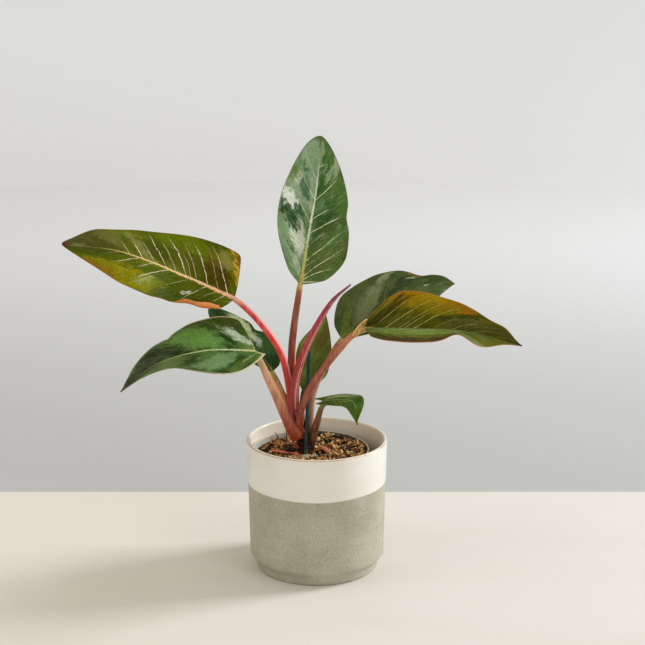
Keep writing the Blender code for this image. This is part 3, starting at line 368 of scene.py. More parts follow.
class Value:
    """An output inside a material, with the usual arithmetic."""

    def __init__(self, surface, socket):
        self.surface = surface
        self.socket = socket

    def __abs__(self):
        return self.surface.math("ABSOLUTE", self)


for sign, operation in (("add", "ADD"), ("sub", "SUBTRACT"), ("mul", "MULTIPLY"), ("truediv", "DIVIDE"),
                        ("pow", "POWER")):
    setattr(Value, "__%s__" % sign, lambda a, b, operation=operation: a.surface.math(operation, a, b))


class Surface:
    """One procedural material, put together from short calls."""

    def __init__(self, name, roughness=0.5, **fixed):
        self.material = bpy.data.materials.new(name)
        self.material.use_nodes = True
        self.tree = self.material.node_tree
        self.shader = self.tree.nodes["Principled BSDF"].inputs
        self.shader["Roughness"].default_value = roughness
        for key, value in fixed.items():
            self.shader[key.replace("_", " ").title().replace("Ior", "IOR")].default_value = value
        self.own = self.add("TexCoord", "Object")
        self.base = None

    def add(self, kind, output=0, fed=(), **settings):
        """Output of a new node. fed: its inputs in their order, or by name or number."""
        node = self.tree.nodes.new("ShaderNode" + kind)
        for key, value in settings.items():
            setattr(node, key, value)
        for key, value in fed.items() if isinstance(fed, dict) else enumerate(fed):
            self.feed(node.inputs[key], value)
        return Value(self, node.outputs[output])

    def feed(self, socket, value):
        if isinstance(value, Value):
            self.tree.links.new(value.socket, socket)
        else:
            socket.default_value = value

    def math(self, operation, *terms, clamp=False):
        return self.add("Math", 0, terms, operation=operation, use_clamp=clamp)

    def fit(self, value, gain, shift, clamp=False):
        """value * gain + shift"""
        return self.math("MULTIPLY_ADD", value, gain, shift, clamp=clamp)

    def value(self, name):
        return self.add("Attribute", "Fac", attribute_name=name)

    def axis(self, name):
        """One of the piece's own coordinates in metres."""
        return self.add("SeparateXYZ", name, [self.own])

    def texture(self, kind, output, where, stretch, fed):
        """A pattern in given coordinates, or in the piece's own, stretched."""
        if where is None and stretch:
            where = self.add("Mapping", 0, {"Vector": self.own, "Scale": stretch})
        return self.add(kind, output, {"Vector": where or self.own, **fed})

    def noise(self, scale, detail=2.0, roughness=0.5, stretch=None, distortion=0.0, where=None):
        fed = {"Scale": scale, "Detail": detail, "Roughness": roughness, "Distortion": distortion}
        return self.texture("TexNoise", "Fac", where, stretch, fed)

    def cells(self, scale, stretch=None, where=None):
        return self.texture("TexVoronoi", "Distance", where, stretch, {"Scale": scale})

    def between(self, value, low, high, start=0.0, end=1.0):
        """Soft step from start to end while the value goes from low to high."""
        return self.add("MapRange", 0, (value, low, high, start, end), interpolation_type="SMOOTHSTEP")

    def mix(self, share, a, b, mode="MIX"):
        """Mixed colour. Three numbers are display values, four are a linear colour."""
        a, b = [tint(c) if isinstance(c, tuple) and len(c) == 3 else c for c in (a, b)]
        return self.add("Mix", 2, {0: share, 6: a, 7: b}, data_type="RGBA", blend_type=mode)

    def lay(self, share, shade):
        """Lays a shade over the colour so far."""
        self.base = self.mix(share, self.base, shade)

    def ramp(self, value, stops, gain=1.0):
        """Colour along stops of place and colour."""
        node = self.tree.nodes.new("ShaderNodeValToRGB")
        elements = node.color_ramp.elements
        while len(elements) < len(stops):
            elements.new(0.5)
        for element, (place, colour) in zip(elements, stops):
            element.position = place
            element.color = tint(colour, gain)
        self.feed(node.inputs[0], value)
        return Value(self, node.outputs[0])

    def done(self, grain=None, dull=None, depth=None, height=None):
        """Joins the colour, a roughness that runs with the grain, and bumps of a depth in metres."""
        self.feed(self.shader["Base Color"], self.base)
        if isinstance(dull, tuple):
            dull = self.between(grain, 0.3, 0.7, *dull)
        if dull:
            self.feed(self.shader["Roughness"], dull)
        if depth:
            bump = self.add("Bump", "Normal", {"Distance": depth, "Height": height or grain})
            self.feed(self.shader["Normal"], bump)
        return self.material


def link(name, data):
    thing = bpy.data.objects.new(name, data)
    bpy.context.scene.collection.objects.link(thing)
    return thing


def piece(name, node, verts, faces, materials, values=None, sharp=60, kinds=None):
    """A mesh object on the one body. values: named numbers of its points. kinds: material of each face."""
    mesh = bpy.data.meshes.new(name)
    mesh.from_pydata(np.asarray(verts, float).tolist(), [], [list(map(int, face)) for face in faces])
    for material in materials:
        mesh.materials.append(material)
    if kinds is not None:
        mesh.polygons.foreach_set("material_index", np.asarray(kinds, dtype=np.int32))
    for key, numbers in (values or {}).items():
        layer = mesh.attributes.new(key, "FLOAT", "POINT")
        layer.data.foreach_set("value", np.asarray(numbers, dtype=np.float32).ravel())
    mesh.update()
    if sharp:
        mesh.shade_smooth()
        mesh.set_sharp_from_angle(angle=math.radians(sharp))
    else:
        mesh.shade_flat()
    thing = link(name, mesh)
    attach(thing, "root")
    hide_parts(node)


def quads(rows, columns, closed=False):
    """Faces between rows of points, numbered row by row; closed joins the last column to the first."""
    i, j = np.meshgrid(np.arange(rows - 1), np.arange(columns if closed else columns - 1), indexing="ij")
    a, b = (i * columns + j).ravel(), (i * columns + (j + 1) % columns).ravel()
    return np.stack([a, b, b + columns, a + columns], 1)


def turned_over(faces):
    """The same four-sided faces, seen from their other side."""
    return faces[:, [0, 3, 2, 1]]


def shell(first, second, open_ends=False, even=False):
    """Points and faces of the skin round two grids in millimetres, and how many faces one grid has.
    even: both grids, and the rims along both sides, are cut along the same diagonals."""
    rows, width = first.shape[:2]
    sheet, count = quads(rows, width), rows * width
    rim = [(0, c) for c in range(width)] + [(r, width - 1) for r in range(1, rows)]
    rim += [(rows - 1, c) for c in range(width - 2, -1, -1)] + [(r, 0) for r in range(rows - 2, 0, -1)]
    loop = np.array([r * width + c for r, c in rim])
    after = np.roll(loop, -1)
    skirt = np.stack([after, loop, loop + count, after + count], 1)
    if even:
        first_side = loop - after == width
        skirt[first_side] = np.roll(skirt[first_side], -1, axis=1)
    if open_ends:
        skirt = skirt[np.abs(after - loop) == width]
    verts = np.concatenate([first.reshape(-1, 3), second.reshape(-1, 3)]) * MM
    back = turned_over(sheet) if even else sheet[:, ::-1]
    return verts, np.concatenate([sheet, back + count, skirt]), len(sheet)


def spline(points, t):
    """Smooth curve through evenly spread points, t an array from 0 to 1."""
    points = np.asarray(points, float)
    spans = len(points) - 1
    ends = np.vstack([2 * points[0] - points[1], points, 2 * points[-1] - points[-2]])
    place = np.clip(np.atleast_1d(t), 0, 1) * spans
    i = np.minimum(place.astype(int), spans - 1)
    f = (place - i)[:, None]
    a, b, c, d = ends[i], ends[i + 1], ends[i + 2], ends[i + 3]
    cubes = (2 * a - 5 * b + 4 * c - d) * f ** 2 + (3 * b - a - 3 * c + d) * f ** 3
    return 0.5 * (2 * b + (c - a) * f + cubes)


def limb(points, radii, count, size=1):
    """Smooth line of a number of points, and smooth radii along it."""
    t = np.linspace(0, 1, count)
    return spline(points, t) * size, spline(np.reshape(radii, (-1, 1)), t)[:, 0] * size


def unit(rows):
    return rows / np.linalg.norm(rows, axis=-1, keepdims=True)


def hump(x, place, spread):
    """Bell curve of height 1."""
    return np.exp(-((x - place) / spread) ** 2)


def run_length(points):
    """Distance along a line of points, from 0 at its start."""
    return np.concatenate([[0], np.cumsum(np.linalg.norm(np.diff(points, axis=0), axis=1))])


def leaf_frame(leaf, t):
    """Rib points and the directions along, up from and across the blade, in millimetres."""
    t = np.atleast_1d(t)
    rib, (start, end) = leaf["rib"], leaf["turn"]
    ahead = unit(spline(rib, np.minimum(t + 0.001, 1)) - spline(rib, np.maximum(t - 0.001, 0)))
    face = np.asarray(leaf["face"], float)
    up = unit(face[None] - ahead * (ahead @ face)[:, None])
    across = np.cross(ahead, up)
    turn = np.radians(start + (end - start) * t)[:, None]
    up, across = up * np.cos(turn) + across * np.sin(turn), across * np.cos(turn) - up * np.sin(turn)
    return spline(rib, t), ahead, up, across


def half_widths(part, t):
    """Half-width of one side along the rib, with the base corner rounded."""
    widest = part["widest"]
    low = part["base"] + (1 - part["base"]) * np.sin(math.pi / 2 * np.clip(t / widest, 0, 1))
    far = np.clip((t - widest) / (1 - widest), 0, 1)
    share = np.where(t < widest, low, np.cos(math.pi / 2 * far) ** part["taper"])
    for place, depth, spread in part["dents"]:
        share = share * (1 - depth * hump(t, place, spread))
    share = share * (1 - 0.16 * np.exp(-t / 0.012))
    return np.maximum(part["half"] * share, 0.5)


def leaf_grid(leaf, t, columns):
    """Grids of middle points in millimetres, signed shares across, distances from the rib, half-widths."""
    centre, ahead, up, across = leaf_frame(leaf, t)
    steps, none = 400, np.zeros((len(t), 1))
    m = (np.arange(steps) + 0.5) / steps
    at = np.minimum((columns * steps).astype(int), steps)
    halves = []
    for name, sign in (("left", -1), ("right", 1)):
        part = leaf[name]
        width = half_widths(part, t)[:, None]
        inner, outer = np.radians(part["slope"])
        angle = inner + (outer - inner) * m + none
        for place, spread, extra in part["curl"]:
            angle += math.radians(extra) * hump(t, place, spread)[:, None] * np.maximum((m - 0.6) / 0.4, 0)
        sums = [np.hstack([none, np.cumsum(step(angle), 1)]) for step in (np.cos, np.sin)]
        out, rise = [(total * width / steps)[:, at] for total in sums]
        lift = sum((amount * hump(t, place, spread) for place, spread, amount in part["waves"]), none[:, 0])
        rise = rise + lift[:, None] * columns ** 2
        back = part["lobe"] * ((1 - t) ** 3)[:, None] * columns ** 1.4
        points = centre[:, None] + across[:, None] * (sign * out)[..., None] + up[:, None] * rise[..., None]
        points -= ahead[:, None] * back[..., None]
        halves.append((points, sign * columns + none, sign * width * columns, width + 0 * columns))
    return [np.concatenate([left[:, :0:-1], right], 1) for left, right in zip(*halves)]


def make_leaf(name, leaf, look, number):
    """Fine blade: gently quilted between its veins, with a raised rib above and a keel below."""
    rng = np.random.default_rng(LEAF_SEED + number)
    rows, steps = SMALL_GRID if name in SMALL_BLADES else LARGE_GRID
    t = BLADE_END * (1 - (1 - np.linspace(0, 1, rows + 1) ** 1.12) ** 1.35)
    k = np.arange(steps + 1) / steps
    columns = 0.62 * k + 0.38 * (1 - np.cos(math.pi * k)) / 2
    points, shares, reach, widths = leaf_grid(leaf, t, columns)
    normal = unit(np.cross(np.gradient(points, axis=1), np.gradient(points, axis=0)))
    run, t, m = run_length(points[:, steps])[:, None], t[:, None], np.abs(shares)
    advance = np.where(shares > 0, look["advance"][1], look["advance"][0])
    phase = (t - advance * m ** look["bend"]) * look["veins"] + 0.5 * (shares > 0)
    calm = np.clip(t / 0.08, 0, 1) * np.clip((1 - t) / 0.12, 0, 1)
    body = np.sin(math.pi * np.clip(m, 0, 1)) ** 0.7
    height = -0.22 * np.cos(math.tau * phase) * body * calm
    for _ in range(6):
        way = rng.uniform(0, math.tau)
        length = rng.uniform(17, 42)
        swing = math.tau * (np.cos(way) * run + np.sin(way) * reach) / length + rng.uniform(0, math.tau)
        height += look["swell"] * 0.42 * np.sin(swing) * calm * (0.35 + 0.65 * body)
    thick = 0.3 - 0.05 * m
    ridge = 0.55 * (1 - t) ** 0.6 * hump(reach, 0, 0.4 + 0.75 * (1 - t))
    keel = 1.5 * (1 - 0.8 * t) * hump(reach, 0, 0.5 + 0.8 * (1 - t))
    top = points + normal * (height + thick + ridge)[..., None]
    bottom = points + normal * (height - thick - keel)[..., None]
    verts, faces, count = shell(top, bottom)
    kinds = np.zeros(len(faces))
    kinds[count:2 * count] = 1
    edge = np.minimum(widths - np.abs(reach), run + 0.05)
    grids = {"leaf_t": t, "leaf_s": shares, "rib_mm": reach, "edge_mm": edge}
    values = {key: np.tile(np.broadcast_to(grid, m.shape).ravel(), 2) for key, grid in grids.items()}
    surfaces = [leaf_surface(name, look), under_surface(name, look)]
    piece(name + "_blade", name, verts, faces, surfaces, values, 50, kinds)


def vein_pattern(s, look):
    """Leaf coordinates, the place along the veins' flow, and masks of veins, streaks and flecks."""
    t, across = s.value("leaf_t"), s.value("leaf_s")
    m, right = abs(across), s.math("GREATER_THAN", across, 0.0)
    left = s.math("SUBTRACT", 1.0, right)
    low, high = look["advance"]
    curve = m ** look["bend"] * s.fit(right, high - low, low)
    wander = s.fit(s.noise(120) - 0.5, 0.013, (s.noise(30) - 0.5) * 0.03)
    place = t - curve + wander

    def lines(count, width, rare):
        """Side veins at even places: all of them, and those that their random numbers keep."""
        phase = s.fit(place, count, right * 0.37)
        off = abs(s.math("FRACT", phase) - 0.5)
        number = s.fit(right, 37.0, s.math("FLOOR", phase + 0.5))
        which = s.add("TexWhiteNoise", "Value", {"W": number}, noise_dimensions="1D")
        line = s.between(off, 0.5 - width, 0.5 - 0.3 * width)
        return line, line * s.between(which, rare, rare + 0.25)

    def flow(stretch, shift=0.0):
        return s.add("CombineXYZ", 0, (place, m * stretch, s.fit(right, 5.0, shift)))

    line, _ = lines(look["veins"], 0.034, 0.05)
    _, small = lines(look["veins"] * 3.2, 0.07, 0.4)
    _, barbs = lines(look["veins"] * 7.0, 0.13, 0.3)
    broken = s.between(s.noise(260, 3), 0.36, 0.5, 0.25, 1.0)
    main = 0.0
    width = look["vein_width"] * 0.006
    for start, sign, end, share, lean in look["mains"]:
        near = s.between(abs(place - s.fit(m, lean, start)), width, 0.35 * width, 0.0, share)
        along = s.between(m, end, end * 0.55) * (right if sign > 0 else left)
        main = s.math("MAXIMUM", main, near * along)
    small = small * (s.between(m, 0.97, 0.62) * s.between(t, 0.01, 0.04)) * s.between(s.noise(170), 0.48, 0.6)
    barbs = barbs * s.between(m + s.noise(220) * 0.12, 0.15, 0.08)
    streaks = s.between(s.noise(150, 3, where=flow(0.03)), 0.52, 0.68) * s.between(s.noise(38), 0.36, 0.6)
    flecks = s.between(s.cells(130, where=flow(0.1)), 0.17, 0.07) * s.between(s.noise(95), 0.46, 0.6)
    warp = [s.noise(22, 4, 0.65, where=flow(0.4, shift)) - 0.5 for shift in (11.0, 23.0)]
    return SimpleNamespace(t=t, across=across, place=place, line=line, main=broken * main, small=small,
                           barbs=barbs, streaks=streaks, flecks=flecks, warp=warp)


def leaf_surface(name, look):
    """Upper face: mottled green with ragged zones, some of the leaf's own colour and some painted sheen and
    painted shade, streaks, veins, rib, flecks, margin and tip.
    """
    s = Surface(name + "_face", look["rough"], specular_ior_level=look["gloss"])
    p = vein_pattern(s, look)
    large, medium = s.noise(30, 3), s.noise(110, 3)
    s.base = s.mix(s.between(large, 0.36, 0.64), look["deep"], look["bright"])
    along, aside = s.fit(p.warp[0], 0.16, p.place), s.fit(p.warp[1], 0.6, p.across)
    ragged = s.fit(s.noise(160, 4, 0.65) - 0.5, 1.1, p.streaks * 0.35)
    # Zones: the leaf's own patches, and the painted sheen and painted shade that the looks list.
    for place, over, reach_t, reach_s, shade, strength in look["zones"]:
        x = (along - (place - look["advance"][over > 0] * abs(over) ** look["bend"])) / reach_t
        y = (aside - over) / reach_s
        s.lay(s.between(s.fit(x, x, y * y) + ragged, 1.25, 0.3, 0.0, strength), shade)
    s.lay(s.between(medium, 0.42, 0.72, 0.0, 0.4), s.mix(0.5, s.base, tint(look["deep"], 0.6)))
    tissue = s.mix(s.between(s.noise(620, 3, 0.7), 0.32, 0.68), (0.8, 0.8, 0.78, 1), (1.2, 1.2, 1.22, 1))
    s.base = s.mix(1.0, s.base, tissue, "MULTIPLY")
    s.lay(p.streaks * look["streaks"], s.mix(0.5, s.base, look["vein"]))
    s.lay(p.small * look["side_share"], look["vein"])
    s.lay(p.flecks * (0.75 * look["flecks"]), (232, 226, 190))
    s.lay(p.main * look["vein_share"], look["vein"])
    rib_colour = s.ramp(p.t, look["rib"])
    s.lay(p.barbs * (0.6 * look["vein_share"]), rib_colour)
    girth = s.fit(s.math("SUBTRACT", 1.0, p.t, clamp=True) ** 0.8, look["rib_width"] * 0.62, 0.22)
    girth = girth * s.between(s.noise(520, 3, 0.7), 0.3, 0.7, 0.6, 1.3)
    rib = s.between(abs(s.value("rib_mm")), girth, girth * 0.5) * s.between(p.t, 1.0, 0.7)
    s.lay(rib * s.between(s.noise(150), 0.2, 0.5, 0.6, 1.0), rib_colour)
    wide = look["margin_width"]
    edge = s.between(s.value("edge_mm"), wide, 0.3 * wide, 0.0, look["margin_share"])
    edge = edge * s.between(p.t, 0.25, 0.4, 1.0, look["margin_far"])
    s.lay(edge * s.between(s.noise(55), 0.3, 0.55, 0.5, 1.0), look["margin"])
    s.lay(s.between(p.t, 0.95, 0.995), look["tip"])
    dull = s.fit(medium - 0.5, 0.22, look["rough"], clamp=True)
    height = s.fit(s.noise(420, 3), 0.4, s.fit(p.line, 0.6, p.streaks * 0.2))
    return s.done(dull=dull, depth=0.0002, height=height)


def under_surface(name, look):
    """Lower face: paler and duller, mottled, with raised veins."""
    s = Surface(name + "_under")
    p = vein_pattern(s, look)
    s.base = s.mix(s.between(s.noise(40, 3), 0.35, 0.65), tint(look["under"], 0.85), tint(look["under"], 1.1))
    s.lay(s.between(s.noise(130, 4, 0.7), 0.46, 0.66, 0.0, 0.8), look["spots"])
    s.lay(p.streaks * 0.3, s.mix(0.5, s.base, look["vein"]))
    s.lay(p.line * 0.35, look["vein"])
    s.lay(s.between(abs(s.value("rib_mm")), 1.7, 0.7), s.ramp(p.t, look["rib"]))
    s.lay(s.between(s.value("edge_mm"), 0.8, 0.1, 0.0, look["margin_share"]), look["margin"])
    return s.done(s.noise(90), (0.42, 0.6), 0.0003, s.fit(p.line, 1.0, p.small * 0.4))


def sweep(spine, sizes, sides, shape=None):
    """Closed tube round a dense line of points in metres. shape(along, around) scales the radius."""
    ahead = unit(np.gradient(spine, axis=0))
    across = unit(np.cross(ahead[0], (0.3, 0.9, 0.2)))
    around = math.tau * np.arange(sides) / sides
    rows = [np.repeat(spine[:1], sides, 0)]
    for i, (centre, size, way) in enumerate(zip(spine, sizes, ahead)):
        across = unit(across - way * across.dot(way))
        ring = size * (shape(i / (len(spine) - 1), around) if shape else np.ones(sides))
        circle = np.cos(around)[:, None] * across + np.sin(around)[:, None] * np.cross(way, across)
        rows.append(centre + ring[:, None] * circle)
    rows.append(np.repeat(spine[-1:], sides, 0))
    along = np.repeat(np.concatenate([[0], np.linspace(0, 1, len(spine)), [1]]), sides)
    return np.concatenate(rows), quads(len(rows), sides, closed=True), along


def rounded(spine, sizes, steps=5):
    """Adds a round nose at the far end of a line of points."""
    way = unit(spine[-1] - spine[-2])
    angle = np.linspace(0, math.pi / 2, steps + 1)[1:]
    more = spine[-1] + way * (sizes[-1] * np.sin(angle))[:, None]
    return np.vstack([spine, more]), np.concatenate([sizes, sizes[-1] * np.maximum(np.cos(angle), 0.05)])


def stalk_surface(name, stops, lit_side_strip=None):
    """Skin of a stalk: colour along it, long streaks, small lenticels, a soft gloss, and on some stalks a
    strip up the right side, the side lit by the key lamp, which is painted highlight on two of them.
    """
    s = Surface(name, 0.38)
    along = s.value("along")
    s.base = s.ramp(along, stops)
    streak = s.noise(420, 3, stretch=(1, 1, 0.1))
    s.lay(s.between(streak, 0.42, 0.75, 0.0, 0.4), s.mix(0.5, s.base, (236, 190, 160)))
    s.lay(s.between(streak, 0.52, 0.25, 0.0, 0.45), s.mix(0.6, s.base, (56, 20, 18)))
    s.lay(s.between(s.noise(70, 3, stretch=(1, 1, 0.35)), 0.5, 0.75, 0.0, 0.35), (110, 60, 40))
    # Strip up the right side, the side that faces the key lamp: painted highlight on some stalks.
    if lit_side_strip:
        low, high, shade = lit_side_strip
        span = s.between(along, low, low + 0.08) * s.between(along, high + 0.08, high)
        s.lay(span * s.between(s.value("right"), 0.45, 0.85, 0.0, 0.9), shade)
    s.lay(s.between(s.cells(520, stretch=(1, 1, 0.5)), 0.16, 0.06, 0.0, 0.35), (226, 176, 140))
    return s.done(streak, (0.32, 0.48), 0.00025)


def make_stalk(name, leaf, stops, lit_side_strip=None):
    """Stalk that rises from the crown, meets the blade's base and runs out under its rib."""
    end, sink = leaf["radii"][-1], STALK_SINK.get(name, 0.9)
    centre, ahead, up, _ = [rows[0] for rows in leaf_frame(leaf, 0.0)]
    drop = end + 1.95
    line = [STALK_STARTS.get(name, leaf["stalk"][0]), *leaf["stalk"][1:], centre - up * drop + ahead]
    path, sizes = limb(line, leaf["radii"], 161)
    gone = run_length(path)
    near = np.clip((gone - gone[-1] + STALK_EASE) / STALK_EASE, 0, 1)
    path = path + (near ** 2 * (3 - 2 * near))[:, None] * (up * (drop - sink) - ahead * 2.0)
    joint = run_length(path)[-1]

    reach = min(STALK_UNDER / run_length(spline(leaf["rib"], np.linspace(0, 1, 40)))[-1], 0.4)
    t = np.linspace(0, reach, 25)[1:]
    centre, _, up, _ = leaf_frame(leaf, t)
    under = centre - up * (sink + (0.5 - sink) * np.clip(t / reach * 1.6, 0, 1))[:, None]
    sizes = np.concatenate([sizes, 0.4 + (end * 0.85 - 0.4) * (1 - t / reach) ** 1.4])
    path = np.vstack([path, under])

    gone = run_length(path)
    even = np.arange(0, gone[-1], STALK_STEP)
    path = np.stack([np.interp(even, gone, path[:, k]) for k in range(3)], 1)
    sizes = np.interp(even, gone, sizes)
    sizes = sizes * np.sqrt(1 - np.clip(1 - (even + 0.3) / sizes[0], 0, 1) ** 2)
    soft = path.copy()
    for _ in range(70):
        soft[1:-1] = (soft[:-2] + 2 * soft[1:-1] + soft[2:]) / 4
    weight = hump(even, joint, 13.0)[:, None]
    path = path * (1 - weight) + soft * weight

    def oval(along, around):
        low = 1 + 0.22 * hump(along, 0, 0.14) * np.cos(2 * around)
        return low - 0.05 * hump(around, math.pi, 0.4)

    spine, sizes = rounded(path * MM, sizes * MM)
    verts, faces, along = sweep(spine, sizes, STALK_SIDES, oval)
    gap = verts - np.repeat(np.vstack([spine[:1], spine, spine[-1:]]), STALK_SIDES, 0)
    right = gap[:, 0] / np.maximum(np.linalg.norm(gap, axis=1), 1e-6)
    along = np.minimum(along * len(spine) * STALK_STEP / joint, 1.0)
    skin = stalk_surface(name + "_stalk_skin", stops, lit_side_strip)
    piece(name + "_stalk", "stems", verts, faces, [skin], {"along": along, "right": right})


def make_young_leaf():
    """Furled leaf: a roll whose outer edge overlaps along a slowly turning seam, with a second line."""
    seams = []

    def roll(along, around):
        turn = np.mod(around - (2.0 + 0.35 * along), math.tau)
        second = np.mod(turn - 0.6 + 0.15 * math.sin(5 * along), math.tau)
        near = [hump(np.minimum(gap, math.tau - gap), 0, 0.15) for gap in (turn, second)]
        seams.append(near[0] + 0.75 * near[1])
        return 0.93 + 0.13 * turn / math.tau

    verts, faces, along = sweep(*limb(YOUNG_LEAF, YOUNG_RADII, 141, MM), 40, roll)
    seam = np.concatenate([seams[0], *seams, seams[-1]])
    s = Surface("young_leaf_skin", 0.36, specular_ior_level=0.4)
    s.base = s.ramp(s.value("along"), ((0.0, (156, 66, 56)), (0.25, (172, 64, 58)), (0.5, (168, 50, 54)),
                                       (0.8, (158, 46, 60)), (0.95, (120, 70, 90)), (1.0, (96, 66, 80))))
    streak = s.noise(380, 3, stretch=(1, 1, 0.12))
    s.lay(s.between(streak, 0.45, 0.75, 0.0, 0.45), (206, 110, 120))
    s.lay(s.between(streak, 0.5, 0.25, 0.0, 0.4), (80, 16, 30))
    fringe = s.between(s.value("seam"), 0.2, 0.8, 0.0, 0.85) * s.between(s.noise(260), 0.3, 0.5)
    s.lay(fringe, (240, 188, 172))
    skin = s.done(streak, (0.3, 0.46), 0.0003)
    piece("young_leaf_roll", "stems", verts, faces, [skin], {"along": along, "seam": seam}, 70)


def make_trunk():
    """Short dark stem with ring scars and knuckles, and two small red buds in the crown."""
    x, y, radius, low, high = TRUNK
    heights, sides, verts = np.linspace(low, high, 60), 72, []
    for z in heights:
        for angle in math.tau * np.arange(sides) / sides:
            cos, sin = math.cos(angle), math.sin(angle)
            share = min(1.0, 0.55 + 0.45 * (high - z) / 6)
            bump = 0.7 * noise.noise(Vector((cos * 2.2, sin * 2.2, z * 0.22)))
            r = radius * share - 0.5 + bump + 0.16 * math.sin(z * 1.25 + 0.8 * math.sin(angle * 2))
            verts.append((x + r * cos, y + r * sin, z))
    last = len(verts)
    verts = np.array(verts + [(x, y, high + 0.5)]) * MM
    top = last - sides
    cap = [(top + k, top + (k + 1) % sides, last) for k in range(sides)]
    s = Surface("trunk_bark", 0.75, specular_ior_level=0.2)
    streak = s.noise(300, 4, stretch=(1, 1, 0.3))
    s.base = s.ramp(streak, ((0.25, (24, 8, 10)), (0.5, (46, 17, 18)), (0.75, (76, 32, 26))))
    s.lay(s.between(s.noise(500), 0.6, 0.75, 0.0, 0.6), (150, 100, 70))
    bark = s.done(streak, (0.5, 0.75), 0.0006)
    piece("trunk", "stems", verts, [*quads(len(heights), sides, closed=True), *cap], [bark])
    red = stalk_surface("bud_skin", ((0.0, (140, 66, 34)), (0.5, (170, 66, 42)), (1.0, (180, 80, 50))))
    for number, (points, radii) in enumerate(BUDS):
        verts, faces, along = sweep(*limb(points, radii, 25, MM), 16)
        piece("bud_%d" % (number + 1), "stems", verts, faces, [red], {"along": along, "right": along * 0})


def hollow_at(x, y, depths=True):
    """How deep a plan point lies in the hollows, in millimetres or as a share."""
    return sum((deep if depths else 1) * math.exp(-((x - a) ** 2 + (y - b) ** 2) / reach ** 2)
               for a, b, reach, deep in HOLLOWS)


def soil_height(x, y):
    """Height of the crumbs in millimetres over a plan point from the nursery pot's middle: the source's
    mound, banked against the pot at the back and right, with small hollows."""
    radius, way = math.hypot(x, y) / SOIL_SPREAD, math.atan2(y, x)
    a, b = x * MM, y * MM
    waves = 0.9 * math.sin(a * 130 + 1.1) * math.cos(b * 170 - 0.6) + 0.6 * math.sin(a * 290 - b * 240)
    dip = math.hypot(x - SOIL_DIP_CENTRE[0], y - SOIL_DIP_CENTRE[1]) / SOIL_DIP_SPREAD
    heap = SOIL_MOUND * max(1 - radius ** 2, 0) - SOIL_DIP * math.exp(-dip ** 2)
    bank = 6.0 * radius ** 4 * (0.5 + 0.5 * math.cos(way - 0.5)) ** 2
    return SOIL_EDGE + heap + waves * min(1, 3 * (1 - radius)) + bank - hollow_at(x, y)


def soil_piece(name, matter, verts, faces, bright, tones, sharp=60):
    """Bark and coir crumbs: each chip has its own tone, from near black to straw."""
    s = Surface(matter, 0.85)
    grain = s.noise(800, 3, 0.6)
    mixed = s.fit(grain - 0.5, 0.45, s.value("tone"), clamp=True)
    s.base = s.ramp(mixed, ((0.0, (14, 7, 5)), (0.25, (52, 24, 12)), (0.45, (118, 66, 26)),
                            (0.62, (178, 116, 44)), (0.8, (222, 168, 84)), (1.0, (246, 220, 164))), bright)
    piece(name, "soil", verts, faces, [s.done(grain, (0.75, 0.95), 0.0005)], {"tone": tones}, sharp)


def soil_bed():
    """Lumpy bed of rings that alternate by half a step."""
    rings, sides = 76, 200
    verts, tones = [(0, 0, soil_height(0, 0))], [0.3]
    for i in range(1, rings + 1):
        for k in range(sides):
            angle = math.tau * (k + 0.5 * (i % 2)) / sides
            radius = SOIL_RADIUS * i / rings
            x, y = radius * math.cos(angle), radius * math.sin(angle)
            rough = noise.noise(Vector((x, y, 0)) * 0.45) * 1.1 + noise.noise(Vector((x, y, 3)) * 1.1) * 0.7
            edge = min(1.0, (SOIL_RADIUS - radius) / 2.5)
            verts.append((x, y, soil_height(x, y) + rough * edge - 0.9))
            tones.append(0.12 + 0.22 * noise.cell(Vector((x, y, 1)) * 0.55) + 0.14 * rough)
    faces = [(0, 1 + k, 1 + (k + 1) % sides) for k in range(sides)]
    for i in range(rings - 1):
        for k in range(sides):
            a, b = 1 + i * sides + k, 1 + i * sides + (k + 1) % sides
            c, d = a + sides, b + sides
            faces += [(a, c, d), (a, d, b)] if i % 2 else [(a, c, b), (c, d, b)]
    verts = (np.array(verts) + (INNER_OFFSET, 0, 0)) * MM
    soil_piece("soil_bed", "soil_crumbs", verts, faces, 0.7, tones)


def turned(lean, tip, turn):
    """Rotation matrix from two tilts and a turn."""
    (cx, sx), (cy, sy), (cz, sz) = [(math.cos(a), math.sin(a)) for a in (lean, tip, turn)]
    about_z = np.array([[cz, -sz, 0], [sz, cz, 0], [0, 0, 1]])
    about_x = np.array([[1, 0, 0], [0, cx, -sx], [0, sx, cx]])
    return about_z @ about_x @ np.array([[cy, 0, sy], [0, 1, 0], [-sy, 0, cy]])


def soil_spot(rng, reach):
    """Random plan point, evenly spread over a disc."""
    radius, angle = reach * math.sqrt(rng.random()), rng.uniform(0, math.tau)
    return radius * math.cos(angle), radius * math.sin(angle)


